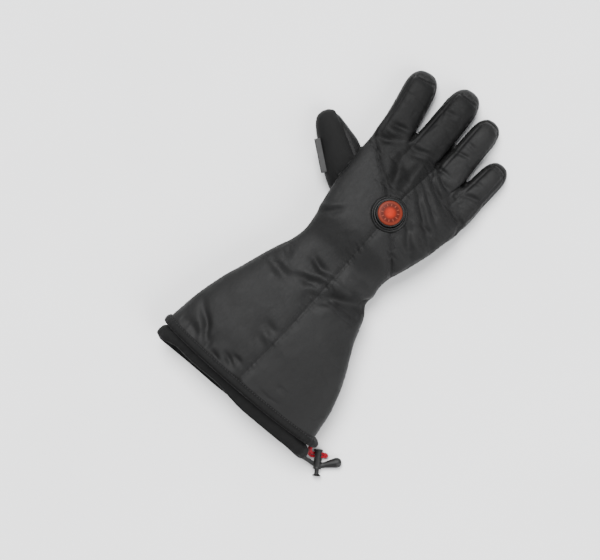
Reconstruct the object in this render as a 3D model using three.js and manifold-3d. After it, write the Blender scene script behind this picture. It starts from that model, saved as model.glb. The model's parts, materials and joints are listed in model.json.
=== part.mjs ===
// Heated winter glove for the right hand, lying on its palm with the back of the hand up.
// A padded hollow shell is cut along its sewn seams into fabric and leather panels. A knitted liner
// stands out of the gauntlet's mouth, a power button sits in the back of the hand, a rubber visor
// wiper lies along the thumb, and a drawcord leaves the hem through a sprung cord lock.
// Millimetres. +Y runs to the fingertips, +X to the little finger's side, +Z up from the back.
// The origin is on the resting plane, under the middle of the back of the hand.
import * as THREE from "three";
import { mergeVertices } from "three/addons/utils/BufferGeometryUtils.js";
import Module from "manifold-3d";

// Hand and gauntlet, measured over the padding
const palmWidth = 121;
const palmLength = 105;
const palmHeight = 46;
const wristWidth = 89;
const wristHeight = 41;
const wristBack = 50;
const gauntletLength = 143;
const gauntletWidth = 176;
const gauntletHeight = 52;
const shellWall = 3.6;
const footSink = 1.2;

// Fingers and thumb, the finger length being the middle one's from its root line
const fingerLength = 96.5;
const fingerWidth = 33.2;
const fingerHeight = 28;
const thumbLength = 92;
const thumbWidth = 44;
const thumbHeight = 34;
const tipCapLength = 8.5;

// Seams between panels
const seamGap = 0.3;
const thumbSoleHeight = 7;
const thumbSeamRise = 9.5;

// Hem binding and liner
const hemWidth = 7.5;
const hemPad = 2;
const hemEar = 5;
const linerWall = 2.4;
const linerGap = 0.5;
const linerReach = 92;
const linerShow = 13;
const linerSag = 4;
const linerFlare = 6.5;
const linerShift = 2.2;

// Power button
const flangeRadius = 16.8;
const flangeHeight = 4.4;
const flangeSeat = 2.1;
const flangeFloor = 1.3;
const capRadius = 12.6;
const capStand = 4.8;
const lensRadius = 11.4;
const lensDome = 1.6;
const buttonTravel = 1;
const fitGap = 0.35;

// Visor wiper on the thumb
const wiperLength = 32;
const wiperIn = 3.4;
const wiperOut = 2.4;
const wiperBase = 6;
const wiperEdge = 2;
const wiperPlace = 0.37;
const wiperRise = 0.84;

// Cord lock with its pull, tether and drawcord
const barrelRadius = 3.7;
const barrelLength = 18.6;
const barrelHeadRadius = 4.3;
const barrelHeadHeight = 1.9;
const plungerRadius = 2.1;
const plungerLength = 13;
const plungerFootRadius = 4.1;
const plungerTravel = 2.4;
const pullLength = 21.2;
const pullRadius = 4.9;
const pullNeckRadius = 2.6;
const cordDiameter = 2.6;
const cordSpacing = 2.9;
const cordSides = 6;
const knotRadius = 2.6;
const tetherWidth = 4;
const tetherThick = 1.4;

const fabricGrey = 0x3c3c3d;
const softshellGrey = 0x353536;
const leatherGrey = 0x2c2c2d;
const stretchBlack = 0x161617;
const plasticBlack = 0x121214;
const lensOrange = 0xd2431f;
const cordRed = 0xc2142b;
const wiperGrey = 0x444446;

const wasm = await Module();
wasm.setup();

const ringSides = 32;
const liningSides = 24;
const trimTo = 0.14;
const fingerSides = 12;
const fingerLiningSides = 8;
const bodyPower = 2.35;
const fingerPower = 2.5;

// Stations of the hand and gauntlet. Along is a share of the gauntlet's or the palm's length from the
// wrist, spread and tall run from the wrist (0) to the far size (1), shift is the centre's place as a
// share of the far width, edge is the height of the widest line as a share of the section's height,
// and close brings the top down to the fingers' height (1) at the end of the palm.
const gauntletStations = [
  { along: 1.08, spread: 1.01, shift: -0.036, tall: 1.0, edge: 0.48 },
  { along: 1.0, spread: 0.99, shift: -0.037, tall: 1.0, edge: 0.48 },
  { along: 0.91, spread: 0.955, shift: -0.036, tall: 1.0, edge: 0.49 },
  { along: 0.81, spread: 0.9, shift: -0.034, tall: 0.98, edge: 0.5 },
  { along: 0.72, spread: 0.83, shift: -0.037, tall: 0.94, edge: 0.5 },
  { along: 0.63, spread: 0.74, shift: -0.038, tall: 0.88, edge: 0.51 },
  { along: 0.54, spread: 0.63, shift: -0.042, tall: 0.8, edge: 0.52 },
  { along: 0.45, spread: 0.5, shift: -0.046, tall: 0.7, edge: 0.53 },
  { along: 0.36, spread: 0.38, shift: -0.051, tall: 0.58, edge: 0.54 },
  { along: 0.28, spread: 0.29, shift: -0.05, tall: 0.44, edge: 0.55 },
  { along: 0.19, spread: 0.175, shift: -0.05, tall: 0.26, edge: 0.56 },
  { along: 0.12, spread: 0.045, shift: -0.055, tall: 0.08, edge: 0.56 },
  { along: 0.06, spread: 0.03, shift: -0.044, tall: 0.0, edge: 0.57 },
];
const handStations = [
  { along: 0.0, spread: 0.0, shift: -0.062, tall: 0.0, close: 0, edge: 0.58 },
  { along: 0.11, spread: 0.05, shift: -0.06, tall: 0.45, close: 0, edge: 0.58 },
  { along: 0.24, spread: 0.28, shift: -0.05, tall: 1.0, close: 0, edge: 0.58 },
  { along: 0.38, spread: 0.515, shift: -0.039, tall: 1.0, close: 0.04, edge: 0.59 },
  { along: 0.52, spread: 0.7, shift: -0.027, tall: 1.0, close: 0.14, edge: 0.6 },
  { along: 0.66, spread: 0.83, shift: -0.019, tall: 1.0, close: 0.27, edge: 0.6 },
  { along: 0.8, spread: 0.94, shift: -0.014, tall: 1.0, close: 0.42, edge: 0.58 },
  { along: 0.93, spread: 0.98, shift: -0.01, tall: 1.0, close: 0.6, edge: 0.55 },
  { along: 1.06, spread: 0.96, shift: -0.008, tall: 1.0, close: 0.84, edge: 0.53 },
  { along: 1.17, spread: 0.88, shift: -0.012, tall: 1.0, close: 1.06, edge: 0.52 },
];
// The palm's end slants back towards the little finger, by this share of its length.
const rootSlant = 0.19;

// Broad folds of the shell. Across is a share of the half width there, along a share of the gauntlet's
// (negative) or the palm's length, length, width and depth shares of the palm's width.
const folds = [
  { across: -0.5, along: -0.13, turn: 4, length: 0.34, width: 0.035, depth: -0.018 },
  { across: -0.3, along: -0.22, turn: 14, length: 0.3, width: 0.04, depth: -0.013 },
  { across: 0.35, along: -0.17, turn: -12, length: 0.3, width: 0.06, depth: -0.014 },
  { across: -0.68, along: -0.9, turn: -48, length: 0.22, width: 0.035, depth: -0.018 },
  { across: -0.4, along: -0.38, turn: -20, length: 0.26, width: 0.06, depth: -0.012 },
  { across: 0.5, along: 0.74, turn: -38, length: 0.36, width: 0.04, depth: -0.014 },
  { across: 0.62, along: 0.56, turn: -40, length: 0.34, width: 0.04, depth: -0.014 },
  { across: -0.3, along: 0.72, turn: -42, length: 0.4, width: 0.05, depth: -0.015 },
  { across: -0.6, along: 1.04, turn: 0, length: 0.2, width: 0.04, depth: -0.014 },
];

// Fingers. Root is the place across the palm as a share of its width, start the place along the palm
// as a share of its length, reach, wide and tall shares of the finger sizes, lean and bow the
// sideways run of the centre line, taper and round the narrowing and the rounded tip's share.
const fingers = [
  {
    name: "index",
    root: -0.36, start: 0.95, reach: 0.87, wide: 0.97, tall: 0.98,
    lean: -0.125, bow: -0.062, taper: 0.03, round: 0.26,
  },
  {
    name: "middle",
    root: -0.112, start: 0.95, reach: 1.0, wide: 1.0, tall: 1.0,
    lean: 0.0, bow: -0.018, taper: 0.07, round: 0.25,
  },
  {
    name: "ring",
    root: 0.1505, start: 0.95, reach: 0.912, wide: 0.862, tall: 0.93,
    lean: 0.003, bow: -0.01, taper: 0.08, round: 0.24,
  },
  {
    name: "little",
    root: 0.375, start: 0.9, reach: 0.705, wide: 0.83, tall: 0.86,
    lean: 0.07, bow: 0.0, taper: 0.12, round: 0.28,
  },
];

// Thumb stations. Out and up are shares of the thumb's length from its root towards its tip, across
// and along the hand, wide and tall shares of its sizes.
const thumbRoot = { across: -0.45, along: 0.49 };
const thumbStations = [
  { out: 0.0, up: 0.0, wide: 0.93, tall: 0.86 },
  { out: 0.2, up: 0.09, wide: 0.99, tall: 0.86 },
  { out: 0.38, up: 0.185, wide: 0.945, tall: 0.86 },
  { out: 0.522, up: 0.274, wide: 0.84, tall: 0.83 },
  { out: 0.672, up: 0.344, wide: 0.715, tall: 0.78 },
  { out: 0.783, up: 0.402, wide: 0.6, tall: 0.71 },
  { out: 0.86, up: 0.447, wide: 0.44, tall: 0.57 },
  { out: 0.899, up: 0.4694, wide: 0.22, tall: 0.34 },
];

const mix = (a, b, t) => a + (b - a) * t;
const clamp01 = (t) => Math.min(1, Math.max(0, t));
const signedPower = (v, p) => Math.sign(v) * Math.abs(v) ** p;

// One station as a cross-section at its place along the glove.
function sectionOf(row, towardsHem) {
  const farWidth = towardsHem ? gauntletWidth : palmWidth;
  const farHeight = towardsHem ? gauntletHeight : palmHeight;
  const top = mix(mix(wristHeight, farHeight, row.tall), fingerHeight, row.close ?? 0);
  return {
    y: towardsHem ? -wristBack - row.along * gauntletLength : -wristBack + row.along * palmLength,
    centre: row.shift * farWidth,
    half: mix(wristWidth, farWidth, row.spread) / 2,
    top,
    edge: top * row.edge,
    bottom: -footSink,
    slant: towardsHem ? 0 : clamp01((row.along - 0.7) / 0.34) * rootSlant * palmLength,
    end: towardsHem ? 0 : clamp01((row.along - 0.8) / 0.34),
  };
}
const bodySections = [
  ...gauntletStations.map((row) => sectionOf(row, true)),
  ...handStations.map((row) => sectionOf(row, false)),
];

// The body's cross-section at any place along it, between its stations.
function sectionAt(y) {
  const last = bodySections.length - 1;
  let k = bodySections.findIndex((s) => s.y > y);
  if (k < 0) k = last;
  const b = bodySections[Math.max(1, k)];
  const a = bodySections[Math.max(1, k) - 1];
  const t = clamp01((y - a.y) / (b.y - a.y));
  const between = {};
  for (const key of Object.keys(a)) between[key] = mix(a[key], b[key], t);
  return between;
}

// A point of the outline plan: across runs from the left edge (-1) to the right (1), along counts
// shares of the palm's length from the wrist, or of the gauntlet's length where it is negative.
function place(across, along) {
  const y = -wristBack + along * (along < 0 ? gauntletLength : palmLength);
  const s = sectionAt(y);
  return new THREE.Vector2(s.centre + across * s.half, y);
}

// Height that the folds add to the top of the shell at a place.
function foldLift(x, y) {
  let lift = 0;
  for (const f of folds) {
    const c = place(f.across, f.along);
    const turn = THREE.MathUtils.degToRad(f.turn);
    const run = (x - c.x) * Math.cos(turn) + (y - c.y) * Math.sin(turn);
    const off = (y - c.y) * Math.cos(turn) - (x - c.x) * Math.sin(turn);
    const reach = (f.length * palmWidth) / 2;
    const width = f.width * palmWidth;
    lift += f.depth * palmWidth * Math.exp(-((run / reach) ** 2) * 2 - (off / width) ** 2);
  }
  return lift;
}

// One ring of the body, set in by an inset, which also draws the palm's end back.
function bodyRing(s, inset, sides) {
  return Array.from({ length: sides }, (_, i) => {
    const turn = (i / sides) * Math.PI * 2;
    const c = signedPower(Math.cos(turn), 2 / bodyPower);
    const q = signedPower(Math.sin(turn), 2 / bodyPower);
    const x = s.centre + (s.half - inset) * c;
    const rise = q > 0 ? (s.top - s.edge - inset) * q : (s.edge - s.bottom - inset) * q;
    const y = s.y - s.slant * clamp01((x - s.centre) / s.half);
    const lift = q > 0 ? foldLift(x, y) * Math.sqrt(q) : 0;
    return new THREE.Vector3(x, y - inset * s.end, s.edge + rise + lift);
  });
}

// Height of the shell's outside at a place on its back.
function backHeight(x, y) {
  const s = sectionAt(y);
  const off = clamp01(Math.abs(x - s.centre) / s.half);
  return s.edge + (s.top - s.edge) * (1 - off ** bodyPower) ** (1 / bodyPower) + foldLift(x, y);
}

// A closed skin over rings of equal length, with a fan over each end.
function loft(rings) {
  const n = rings[0].length;
  const positions = [];
  const index = [];
  for (const ring of rings) for (const p of ring) positions.push(p.x, p.y, p.z);
  for (let k = 0; k + 1 < rings.length; k++) {
    for (let i = 0; i < n; i++) {
      const j = (i + 1) % n;
      const [a, b, c, d] = [k * n + i, k * n + j, (k + 1) * n + j, (k + 1) * n + i];
      index.push(a, b, c, a, c, d);
    }
  }
  for (const [k, flip] of [[0, true], [rings.length - 1, false]]) {
    const middle = rings[k].reduce((m, p) => m.add(p), new THREE.Vector3()).divideScalar(n);
    const hub = positions.length / 3;
    positions.push(middle.x, middle.y, middle.z);
    for (let i = 0; i < n; i++) {
      const [a, b] = [k * n + i, k * n + ((i + 1) % n)];
      index.push(...(flip ? [hub, b, a] : [hub, a, b]));
    }
  }
  const geometry = new THREE.BufferGeometry();
  geometry.setAttribute("position", new THREE.Float32BufferAttribute(positions, 3));
  geometry.setIndex(index);
  return geometry;
}

// A geometry as a solid, turned the right way out.
function solid(geometry) {
  const bare = geometry.clone();
  for (const name of Object.keys(bare.attributes)) if (name !== "position") bare.deleteAttribute(name);
  const merged = mergeVertices(bare, 1e-4);
  const triVerts = new Uint32Array(merged.index.array);
  const vertProperties = new Float32Array(merged.attributes.position.array);
  const made = new wasm.Manifold(new wasm.Mesh({ numProp: 3, vertProperties, triVerts }));
  if (made.volume() > 0) return made;
  for (let i = 0; i < triVerts.length; i += 3) {
    [triVerts[i + 1], triVerts[i + 2]] = [triVerts[i + 2], triVerts[i + 1]];
  }
  return new wasm.Manifold(new wasm.Mesh({ numProp: 3, vertProperties, triVerts }));
}

function geometryOf(made) {
  const mesh = made.getMesh();
  const vertices = new Float32Array(mesh.numVert * 3);
  for (let i = 0; i < mesh.numVert; i++) {
    vertices.set(mesh.vertProperties.subarray(i * mesh.numProp, i * mesh.numProp + 3), i * 3);
  }
  const geometry = new THREE.BufferGeometry();
  geometry.setAttribute("position", new THREE.BufferAttribute(vertices, 3));
  geometry.setIndex(new THREE.BufferAttribute(mesh.triVerts, 1));
  geometry.computeVertexNormals();
  return geometry;
}

const joined = (solids) => solids.reduce((all, one) => all.add(one));

// A prism over a plan outline, from one height to another.
function prism(outline, low, high) {
  const shape = new THREE.Shape(outline.map((p) => new THREE.Vector2(p.x, p.y)));
  const geometry = new THREE.ExtrudeGeometry(shape, { depth: high - low, bevelEnabled: false });
  return solid(geometry.translate(0, 0, low));
}

// A thin upright wall along a line in plan, which cuts the seam's gap.
function curtain(line, low, high, thick = seamGap) {
  const side = line.map((p, k) => {
    const before = line[Math.max(0, k - 1)];
    const after = line[Math.min(line.length - 1, k + 1)];
    return new THREE.Vector2(before.y - after.y, after.x - before.x).normalize().multiplyScalar(thick / 2);
  });
  const left = line.map((p, k) => p.clone().add(side[k]));
  const right = line.map((p, k) => p.clone().sub(side[k])).reverse();
  return prism([...left, ...right], low, high);
}

const roomy = 3 * (gauntletLength + palmLength);
const sky = 2 * gauntletHeight;

function slab(low, high) {
  return solid(new THREE.BoxGeometry(roomy, roomy, high - low).translate(0, 0, (low + high) / 2));
}

// A finger's centre, half width and height at a share of its reach.
function fingerAt(f, share) {
  const reach = f.reach * fingerLength;
  const s = share * reach;
  const x = f.root * palmWidth + f.lean * s + f.bow * s * share;
  const y = -wristBack + f.start * palmLength + s;
  const heading = Math.atan(f.lean + 2 * f.bow * share);
  const half = (f.wide * fingerWidth * (1 - f.taper * share ** 2)) / 2;
  return { x, y, heading, half, tall: f.tall * fingerHeight * (1.08 - 0.2 * share) };
}

const rootShrink = 0.8;
const fingerShares = [-0.12, 0.02, 0.25, 0.5, 0.74];
const tipShares = [0.4, 0.7, 0.92];
const tipPower = 2.4;

function fingerRings(f, inset, sides) {
  const shares = [...fingerShares, ...tipShares.map((t) => 1 - f.round * (1 - t))];
  const reach = f.reach * fingerLength;
  return shares.map((share) => {
    const at = fingerAt(f, share);
    const past = clamp01((share - (1 - f.round)) / f.round);
    const shrink = (1 - past ** tipPower) ** (1 / tipPower);
    const sunk = share < 0 ? rootShrink : 1;
    const half = Math.max(0.4, at.half * shrink * sunk - inset);
    const tall = at.tall * mix(1, shrink, 0.75) * sunk;
    const low = (at.tall - tall) * 0.25 - footSink;
    const middle = (low + tall - footSink) / 2;
    const rise = Math.max(0.4, (tall - footSink - low) / 2 - inset);
    const back = inset * Math.max(0, share) ** 4;
    const x = at.x - (back / reach) * (f.lean + 2 * f.bow) * reach;
    return Array.from({ length: sides }, (_, i) => {
      const turn = (i / sides) * Math.PI * 2;
      const side = half * signedPower(Math.cos(turn), 2 / fingerPower);
      const up = rise * signedPower(Math.sin(turn), 2 / fingerPower);
      return new THREE.Vector3(
        x + side * Math.cos(at.heading),
        at.y - back - side * Math.sin(at.heading),
        middle + up,
      );
    });
  });
}

const thumbStart = place(thumbRoot.across, thumbRoot.along);
const thumbSpots = thumbStations.map(
  (row) => new THREE.Vector2(thumbStart.x - row.out * thumbLength, thumbStart.y + row.up * thumbLength),
);
const thumbWay = thumbSpots.at(-1).clone().sub(thumbSpots[2]).normalize();
const thumbUpSide = new THREE.Vector2(thumbWay.y, -thumbWay.x);

function thumbRings(inset, sides) {
  return thumbStations.map((row, k) => {
    const share = k / (thumbStations.length - 1);
    const spot = thumbSpots[k].clone().addScaledVector(thumbWay, -inset * share ** 3);
    const half = Math.max(0.4, (row.wide * thumbWidth) / 2 - inset);
    const tall = row.tall * thumbHeight;
    const rise = Math.max(0.4, tall / 2 - inset);
    return Array.from({ length: sides }, (_, i) => {
      const turn = (i / sides) * Math.PI * 2;
      const side = half * signedPower(Math.cos(turn), 2 / fingerPower);
      const up = rise * signedPower(Math.sin(turn), 2 / fingerPower);
      const at = spot.clone().addScaledVector(thumbUpSide, side);
      return new THREE.Vector3(at.x, at.y, tall / 2 - footSink + up);
    });
  });
}

const hemLine = -wristBack - gauntletLength;

// The hand and gauntlet with the fingers, and the thumb, as full bodies set in by an inset
function handSkin(inset) {
  const fine = inset <= 0;
  const body = solid(loft(bodySections.map((s) => bodyRing(s, inset, fine ? ringSides : liningSides))));
  const sides = fine ? fingerSides : fingerLiningSides;
  const tubes = fingers.map((f) => solid(loft(fingerRings(f, inset, sides))));
  return joined([body, ...tubes]).subtract(slab(-sky, inset));
}
function thumbSkin(inset) {
  const sides = inset <= 0 ? fingerSides : fingerLiningSides;
  return solid(loft(thumbRings(inset, sides))).subtract(slab(-sky, inset));
}

// Everything with a smaller y than a line across the glove.
function hemward(y) {
  return solid(new THREE.BoxGeometry(roomy, roomy, 2 * sky).translate(0, y - roomy / 2, 0));
}

const handOutside = handSkin(0);
const thumbHollow = thumbSkin(shellWall);
const shell = handOutside
  .subtract(handSkin(shellWall))
  .subtract(thumbHollow)
  .subtract(hemward(hemLine));
const thumbShell = thumbSkin(0).subtract(thumbHollow).subtract(handSkin(-seamGap));

// Seam lines in plan, run past the outline where they leave it
const buttonSpot = new THREE.Vector2(-0.006 * palmWidth, -wristBack + 0.552 * palmLength);
const farLeft = -roomy / 3;
const farRight = roomy / 3;
const cuffSeam = [
  buttonSpot,
  place(0.12, -0.25),
  place(0.05, -0.6),
  place(-0.012, -0.99),
  place(-0.02, -1.2),
];
const wristSeam = [buttonSpot, place(0.32, 0.43), place(1.02, 0.13), place(2.2, -0.02)];
const indexSeam = [buttonSpot, place(-0.2, 0.68), place(-0.97, 1.0), place(-1.8, 1.18)];

// The line midway between two fingers' facing sides at a share of the first one's reach.
function betweenFingers(a, b, share) {
  const left = fingerAt(a, share);
  const rightShare = (left.y + wristBack - b.start * palmLength) / (b.reach * fingerLength);
  const right = fingerAt(b, rightShare);
  return new THREE.Vector2((left.x + left.half + right.x - right.half) / 2, left.y);
}
const crotch = betweenFingers(fingers[1], fingers[2], 0.19);
const middleSeam = [
  buttonSpot,
  place(0.02, 0.78),
  crotch,
  betweenFingers(fingers[1], fingers[2], 0.6),
  new THREE.Vector2(crotch.x, roomy / 3),
];
const knuckleSeam = [
  crotch,
  place(0.19, 1.02),
  place(0.36, 0.985),
  place(0.52, 0.95),
  place(0.75, 0.92),
  place(1.3, 0.9),
];
const thumbBackSeam = [-1, 1].map((end) =>
  thumbSpots[3]
    .clone()
    .addScaledVector(thumbWay, end * thumbLength)
    .addScaledVector(thumbUpSide, thumbSeamRise),
);

// Height of the side seam along the glove, between the back panels and the palm
const sideSeam = [
  { y: -roomy / 2, z: 0.5 * gauntletHeight },
  { y: -wristBack - gauntletLength, z: 0.5 * gauntletHeight },
  { y: -wristBack, z: 0.57 * wristHeight },
  { y: -wristBack + 0.5 * palmLength, z: 0.57 * palmHeight },
  { y: -wristBack + 0.85 * palmLength, z: 0.48 * palmHeight },
  { y: -wristBack + palmLength, z: 0.38 * palmHeight },
  { y: -wristBack + 1.25 * palmLength, z: 0.54 * fingerHeight },
  { y: roomy / 2, z: 0.52 * fingerHeight },
];

// Everything above the side seam, shifted by a little.
function aboveSide(shift) {
  const outline = [
    ...sideSeam.map((p) => new THREE.Vector2(p.y, p.z + shift)),
    new THREE.Vector2(roomy / 2, sky),
    new THREE.Vector2(-roomy / 2, sky),
  ];
  const geometry = new THREE.ExtrudeGeometry(new THREE.Shape(outline), { depth: roomy, bevelEnabled: false });
  geometry.translate(0, 0, -roomy / 2);
  geometry.applyMatrix4(new THREE.Matrix4().makeBasis(
    new THREE.Vector3(0, 1, 0),
    new THREE.Vector3(0, 0, 1),
    new THREE.Vector3(1, 0, 0),
  ));
  return solid(geometry);
}

// The leather ends of the index and middle fingers, over the tips. Grow shifts the line back.
function tipCaps(grow) {
  return joined(
    fingers.slice(0, 2).map((f) => {
      const share = 1 - (tipCapLength + grow) / (f.reach * fingerLength);
      const at = fingerAt(f, share);
      const along = new THREE.Vector2(Math.sin(at.heading), Math.cos(at.heading));
      const side = new THREE.Vector2(along.y, -along.x).multiplyScalar(at.half * 1.15);
      const base = new THREE.Vector2(at.x, at.y);
      const far = base.clone().addScaledVector(along, 3 * tipCapLength);
      const corners = [
        base.clone().sub(side),
        base.clone().add(side),
        far.clone().add(side),
        far.clone().sub(side),
      ];
      return prism(corners, -sky, sky);
    }),
  );
}

// The button's own frame: its seat on the back of the hand, leaning with the slope there.
const heightPast = (reach) => backHeight(buttonSpot.x, buttonSpot.y + reach);
const buttonSlope = (heightPast(flangeRadius) - heightPast(-flangeRadius)) / (2 * flangeRadius);
const buttonSeat = new THREE.Vector3(
  buttonSpot.x,
  buttonSpot.y,
  backHeight(buttonSpot.x, buttonSpot.y) - flangeSeat,
);
const buttonFrame = new THREE.Matrix4()
  .makeTranslation(buttonSeat)
  .multiply(new THREE.Matrix4().makeRotationX(Math.atan(buttonSlope)));

// A turned solid about +Z from its half profile.
function turned(profile, segments = 26) {
  const outline = profile.map(([r, z]) => new THREE.Vector2(r, z));
  return new THREE.LatheGeometry(outline, segments).rotateX(Math.PI / 2);
}

const pocketRadius = flangeRadius + seamGap;
const pocketProfile = [
  [0, -seamGap],
  [pocketRadius, -seamGap],
  [pocketRadius, sky],
  [0, sky],
];
const buttonPocket = solid(turned(pocketProfile).applyMatrix4(buttonFrame));

const seamWalls = joined([
  curtain(cuffSeam, -sky, sky),
  curtain(wristSeam, -sky, sky),
  curtain(indexSeam, -sky, sky),
  curtain(middleSeam, -sky, sky),
  curtain(knuckleSeam, -sky, sky),
]);
const backShell = shell
  .intersect(aboveSide(seamGap / 2))
  .subtract(tipCaps(seamGap))
  .subtract(seamWalls)
  .subtract(buttonPocket);
const corner = (x, y) => new THREE.Vector2(x, y);
// From a seam's end to the outline's left or right side, and back from another seam's end.
const leftOf = (seam) => corner(farLeft, seam.at(-1).y);
const rightOf = (seam) => corner(farRight, seam.at(-1).y);
const backAlong = (seam, from = 1) => seam.slice(from).reverse();
const panelOutlines = {
  gauntlet_thumb_side: [...cuffSeam, leftOf(cuffSeam), leftOf(indexSeam), ...backAlong(indexSeam)],
  back_index_middle: [...indexSeam, corner(farLeft, roomy / 3), ...backAlong(middleSeam)],
  back_ring_little: [
    ...knuckleSeam,
    rightOf(knuckleSeam),
    corner(farRight, roomy / 3),
    ...backAlong(middleSeam, 3),
  ],
  back_little_side: [
    ...middleSeam.slice(0, 2),
    ...knuckleSeam,
    rightOf(knuckleSeam),
    rightOf(wristSeam),
    ...backAlong(wristSeam),
  ],
  gauntlet_little_side: [...wristSeam, rightOf(wristSeam), rightOf(cuffSeam), ...backAlong(cuffSeam)],
};

// The largest of the bodies in a solid, which leaves out slivers at the seams' ends.
function mainBody(made) {
  const bodies = made.decompose();
  return bodies.reduce((best, one) => (one.volume() > best.volume() ? one : best));
}

// A sewn panel: its main body, with facets that lie in one face joined.
function panel(made) {
  return mainBody(made).simplify(trimTo);
}

const lowerShell = shell.subtract(aboveSide(-seamGap / 2).subtract(tipCaps(0)));
const palmShell = lowerShell.subtract(hemward(-wristBack + seamGap / 2));
const gauntletFloor = lowerShell.intersect(hemward(-wristBack - seamGap / 2));

// The thumb's stretch back lies above the sole, on the outer side of its seam.
function thumbBackRegion(grow) {
  const [near, far] = thumbBackSeam.map((p) => p.clone().addScaledVector(thumbUpSide, grow));
  const [farOut, nearOut] = [far, near].map((p) => p.clone().addScaledVector(thumbUpSide, -2 * thumbWidth));
  return prism([near, far, farOut, nearOut], thumbSoleHeight - grow, sky);
}

const glove = new THREE.Group();

function addNode(name, made, color, roughness = 0.85, metalness = 0) {
  const material = new THREE.MeshStandardMaterial({ color, roughness, metalness });
  const mesh = new THREE.Mesh(made.isBufferGeometry ? made : geometryOf(made), material);
  mesh.name = name;
  glove.add(mesh);
  return mesh;
}

const panelColours = {
  gauntlet_thumb_side: fabricGrey,
  back_index_middle: softshellGrey,
  back_ring_little: fabricGrey,
  back_little_side: fabricGrey,
  gauntlet_little_side: softshellGrey,
};
for (const [name, outline] of Object.entries(panelOutlines)) {
  addNode(name, panel(backShell.intersect(prism(outline, -sky, sky))), panelColours[name]);
}
addNode("palm_leather", panel(palmShell), leatherGrey, 0.6);
addNode("gauntlet_underside", panel(gauntletFloor), fabricGrey);
addNode("thumb_back", panel(thumbShell.intersect(thumbBackRegion(0))), stretchBlack);
addNode("thumb_leather", panel(thumbShell.subtract(thumbBackRegion(seamGap))), leatherGrey, 0.6);

// The padded binding around the hem. Back counts from the shell's edge, pad is a share of its padding.
const hemRows = [
  { back: 0, pad: 0.0 },
  { back: 0.14, pad: 0.72 },
  { back: 0.4, pad: 1.0 },
  { back: 0.7, pad: 0.86 },
  { back: 0.93, pad: 0.3 },
  { back: 1, pad: -0.4 },
];
function hemRing(back, inset, ear) {
  const s = sectionAt(hemLine);
  const ring = bodyRing({ ...s, y: hemLine - seamGap - back }, inset, ringSides);
  for (const p of ring) p.x += ear * hemEar * clamp01((p.x - s.centre) / s.half) ** 8;
  return ring;
}
const hemOutside = solid(
  loft(hemRows.map((row) => hemRing(row.back * hemWidth, -row.pad * hemPad, Math.max(0, row.pad)))),
);
const hemBore = solid(loft([-1, 0.5, 2].map((share) => hemRing(share * hemWidth, shellWall, 0))));
const hemSolid = hemOutside.subtract(slab(-sky, 0)).subtract(hemBore);

// The liner's sleeve past the shell's edge. Back is a share of its length out there, sag a share of
// the sag by which its top comes down, and flare a share of the flare by which its sides go out.
const linerRows = [
  { back: -0.1, sag: 0, flare: 0 },
  { back: 0.18, sag: 0.15, flare: 0 },
  { back: 0.37, sag: 0.7, flare: 0 },
  { back: 0.53, sag: 0.95, flare: 0.8 },
  { back: 0.77, sag: 1.1, flare: 1 },
  { back: 1, sag: 1.4, flare: 0.85 },
];
const linerOut = hemWidth + seamGap + linerShow;
const linerFloor = shellWall + linerGap;
function linerSkin(inset) {
  const come = linerFloor + inset;
  const past = Math.max(0, inset);
  const inside = handSkin(come).subtract(hemward(hemLine)).intersect(hemward(hemLine + linerReach + past));
  const edge = sectionAt(hemLine);
  const rings = linerRows.map((row) => {
    const section = {
      ...edge,
      y: hemLine - row.back * (linerOut + past),
      centre: edge.centre + row.flare * linerShift,
      half: edge.half + row.flare * linerFlare,
      top: edge.top - row.sag * linerSag,
      edge: edge.edge - (row.flare * linerSag) / 2,
    };
    return bodyRing(section, come, liningSides);
  });
  return inside.add(solid(loft(rings)).subtract(slab(-sky, come)));
}
const linerOutside = linerSkin(0);
addNode("liner_cuff", panel(linerOutside.subtract(linerSkin(linerWall))), stretchBlack, 0.95);

// Power button: a grooved flange, and a cap under a glowing lens, which slide in it together.
const capBottom = flangeFloor + buttonTravel + fitGap;
const capTop = flangeHeight + capStand;
const flangeProfile = [
  [0, 0],
  [flangeRadius, 0],
  [flangeRadius, flangeHeight * 0.5],
  [flangeRadius - 1.2, flangeHeight * 0.78],
  [flangeRadius - 2, flangeHeight * 0.62],
  [flangeRadius - 2.6, flangeHeight],
  [capRadius + fitGap, flangeHeight],
  [capRadius + fitGap, flangeFloor],
  [0, flangeFloor],
];
const capProfile = [
  [0, capBottom],
  [capRadius, capBottom],
  [capRadius, capTop - 0.8],
  [capRadius - 0.5, capTop],
  [lensRadius + fitGap, capTop],
  [lensRadius + fitGap, capTop - 1],
  [0, capTop - 1],
];
const lensBottom = capTop - 1 + seamGap;
const lensProfile = [
  [0, lensBottom],
  [lensRadius, lensBottom],
  [lensRadius, lensBottom + lensDome * 0.55],
  [lensRadius * 0.9, lensBottom + lensDome * 0.9],
  [lensRadius * 0.55, lensBottom + lensDome * 1.1],
  [0, lensBottom + lensDome * 1.2],
];
addNode("button_flange", turned(flangeProfile).applyMatrix4(buttonFrame), plasticBlack, 0.5);
addNode("button_cap", turned(capProfile).applyMatrix4(buttonFrame), plasticBlack, 0.4);
addNode("button_lens", turned(lensProfile).applyMatrix4(buttonFrame), lensOrange, 0.35);

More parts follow.
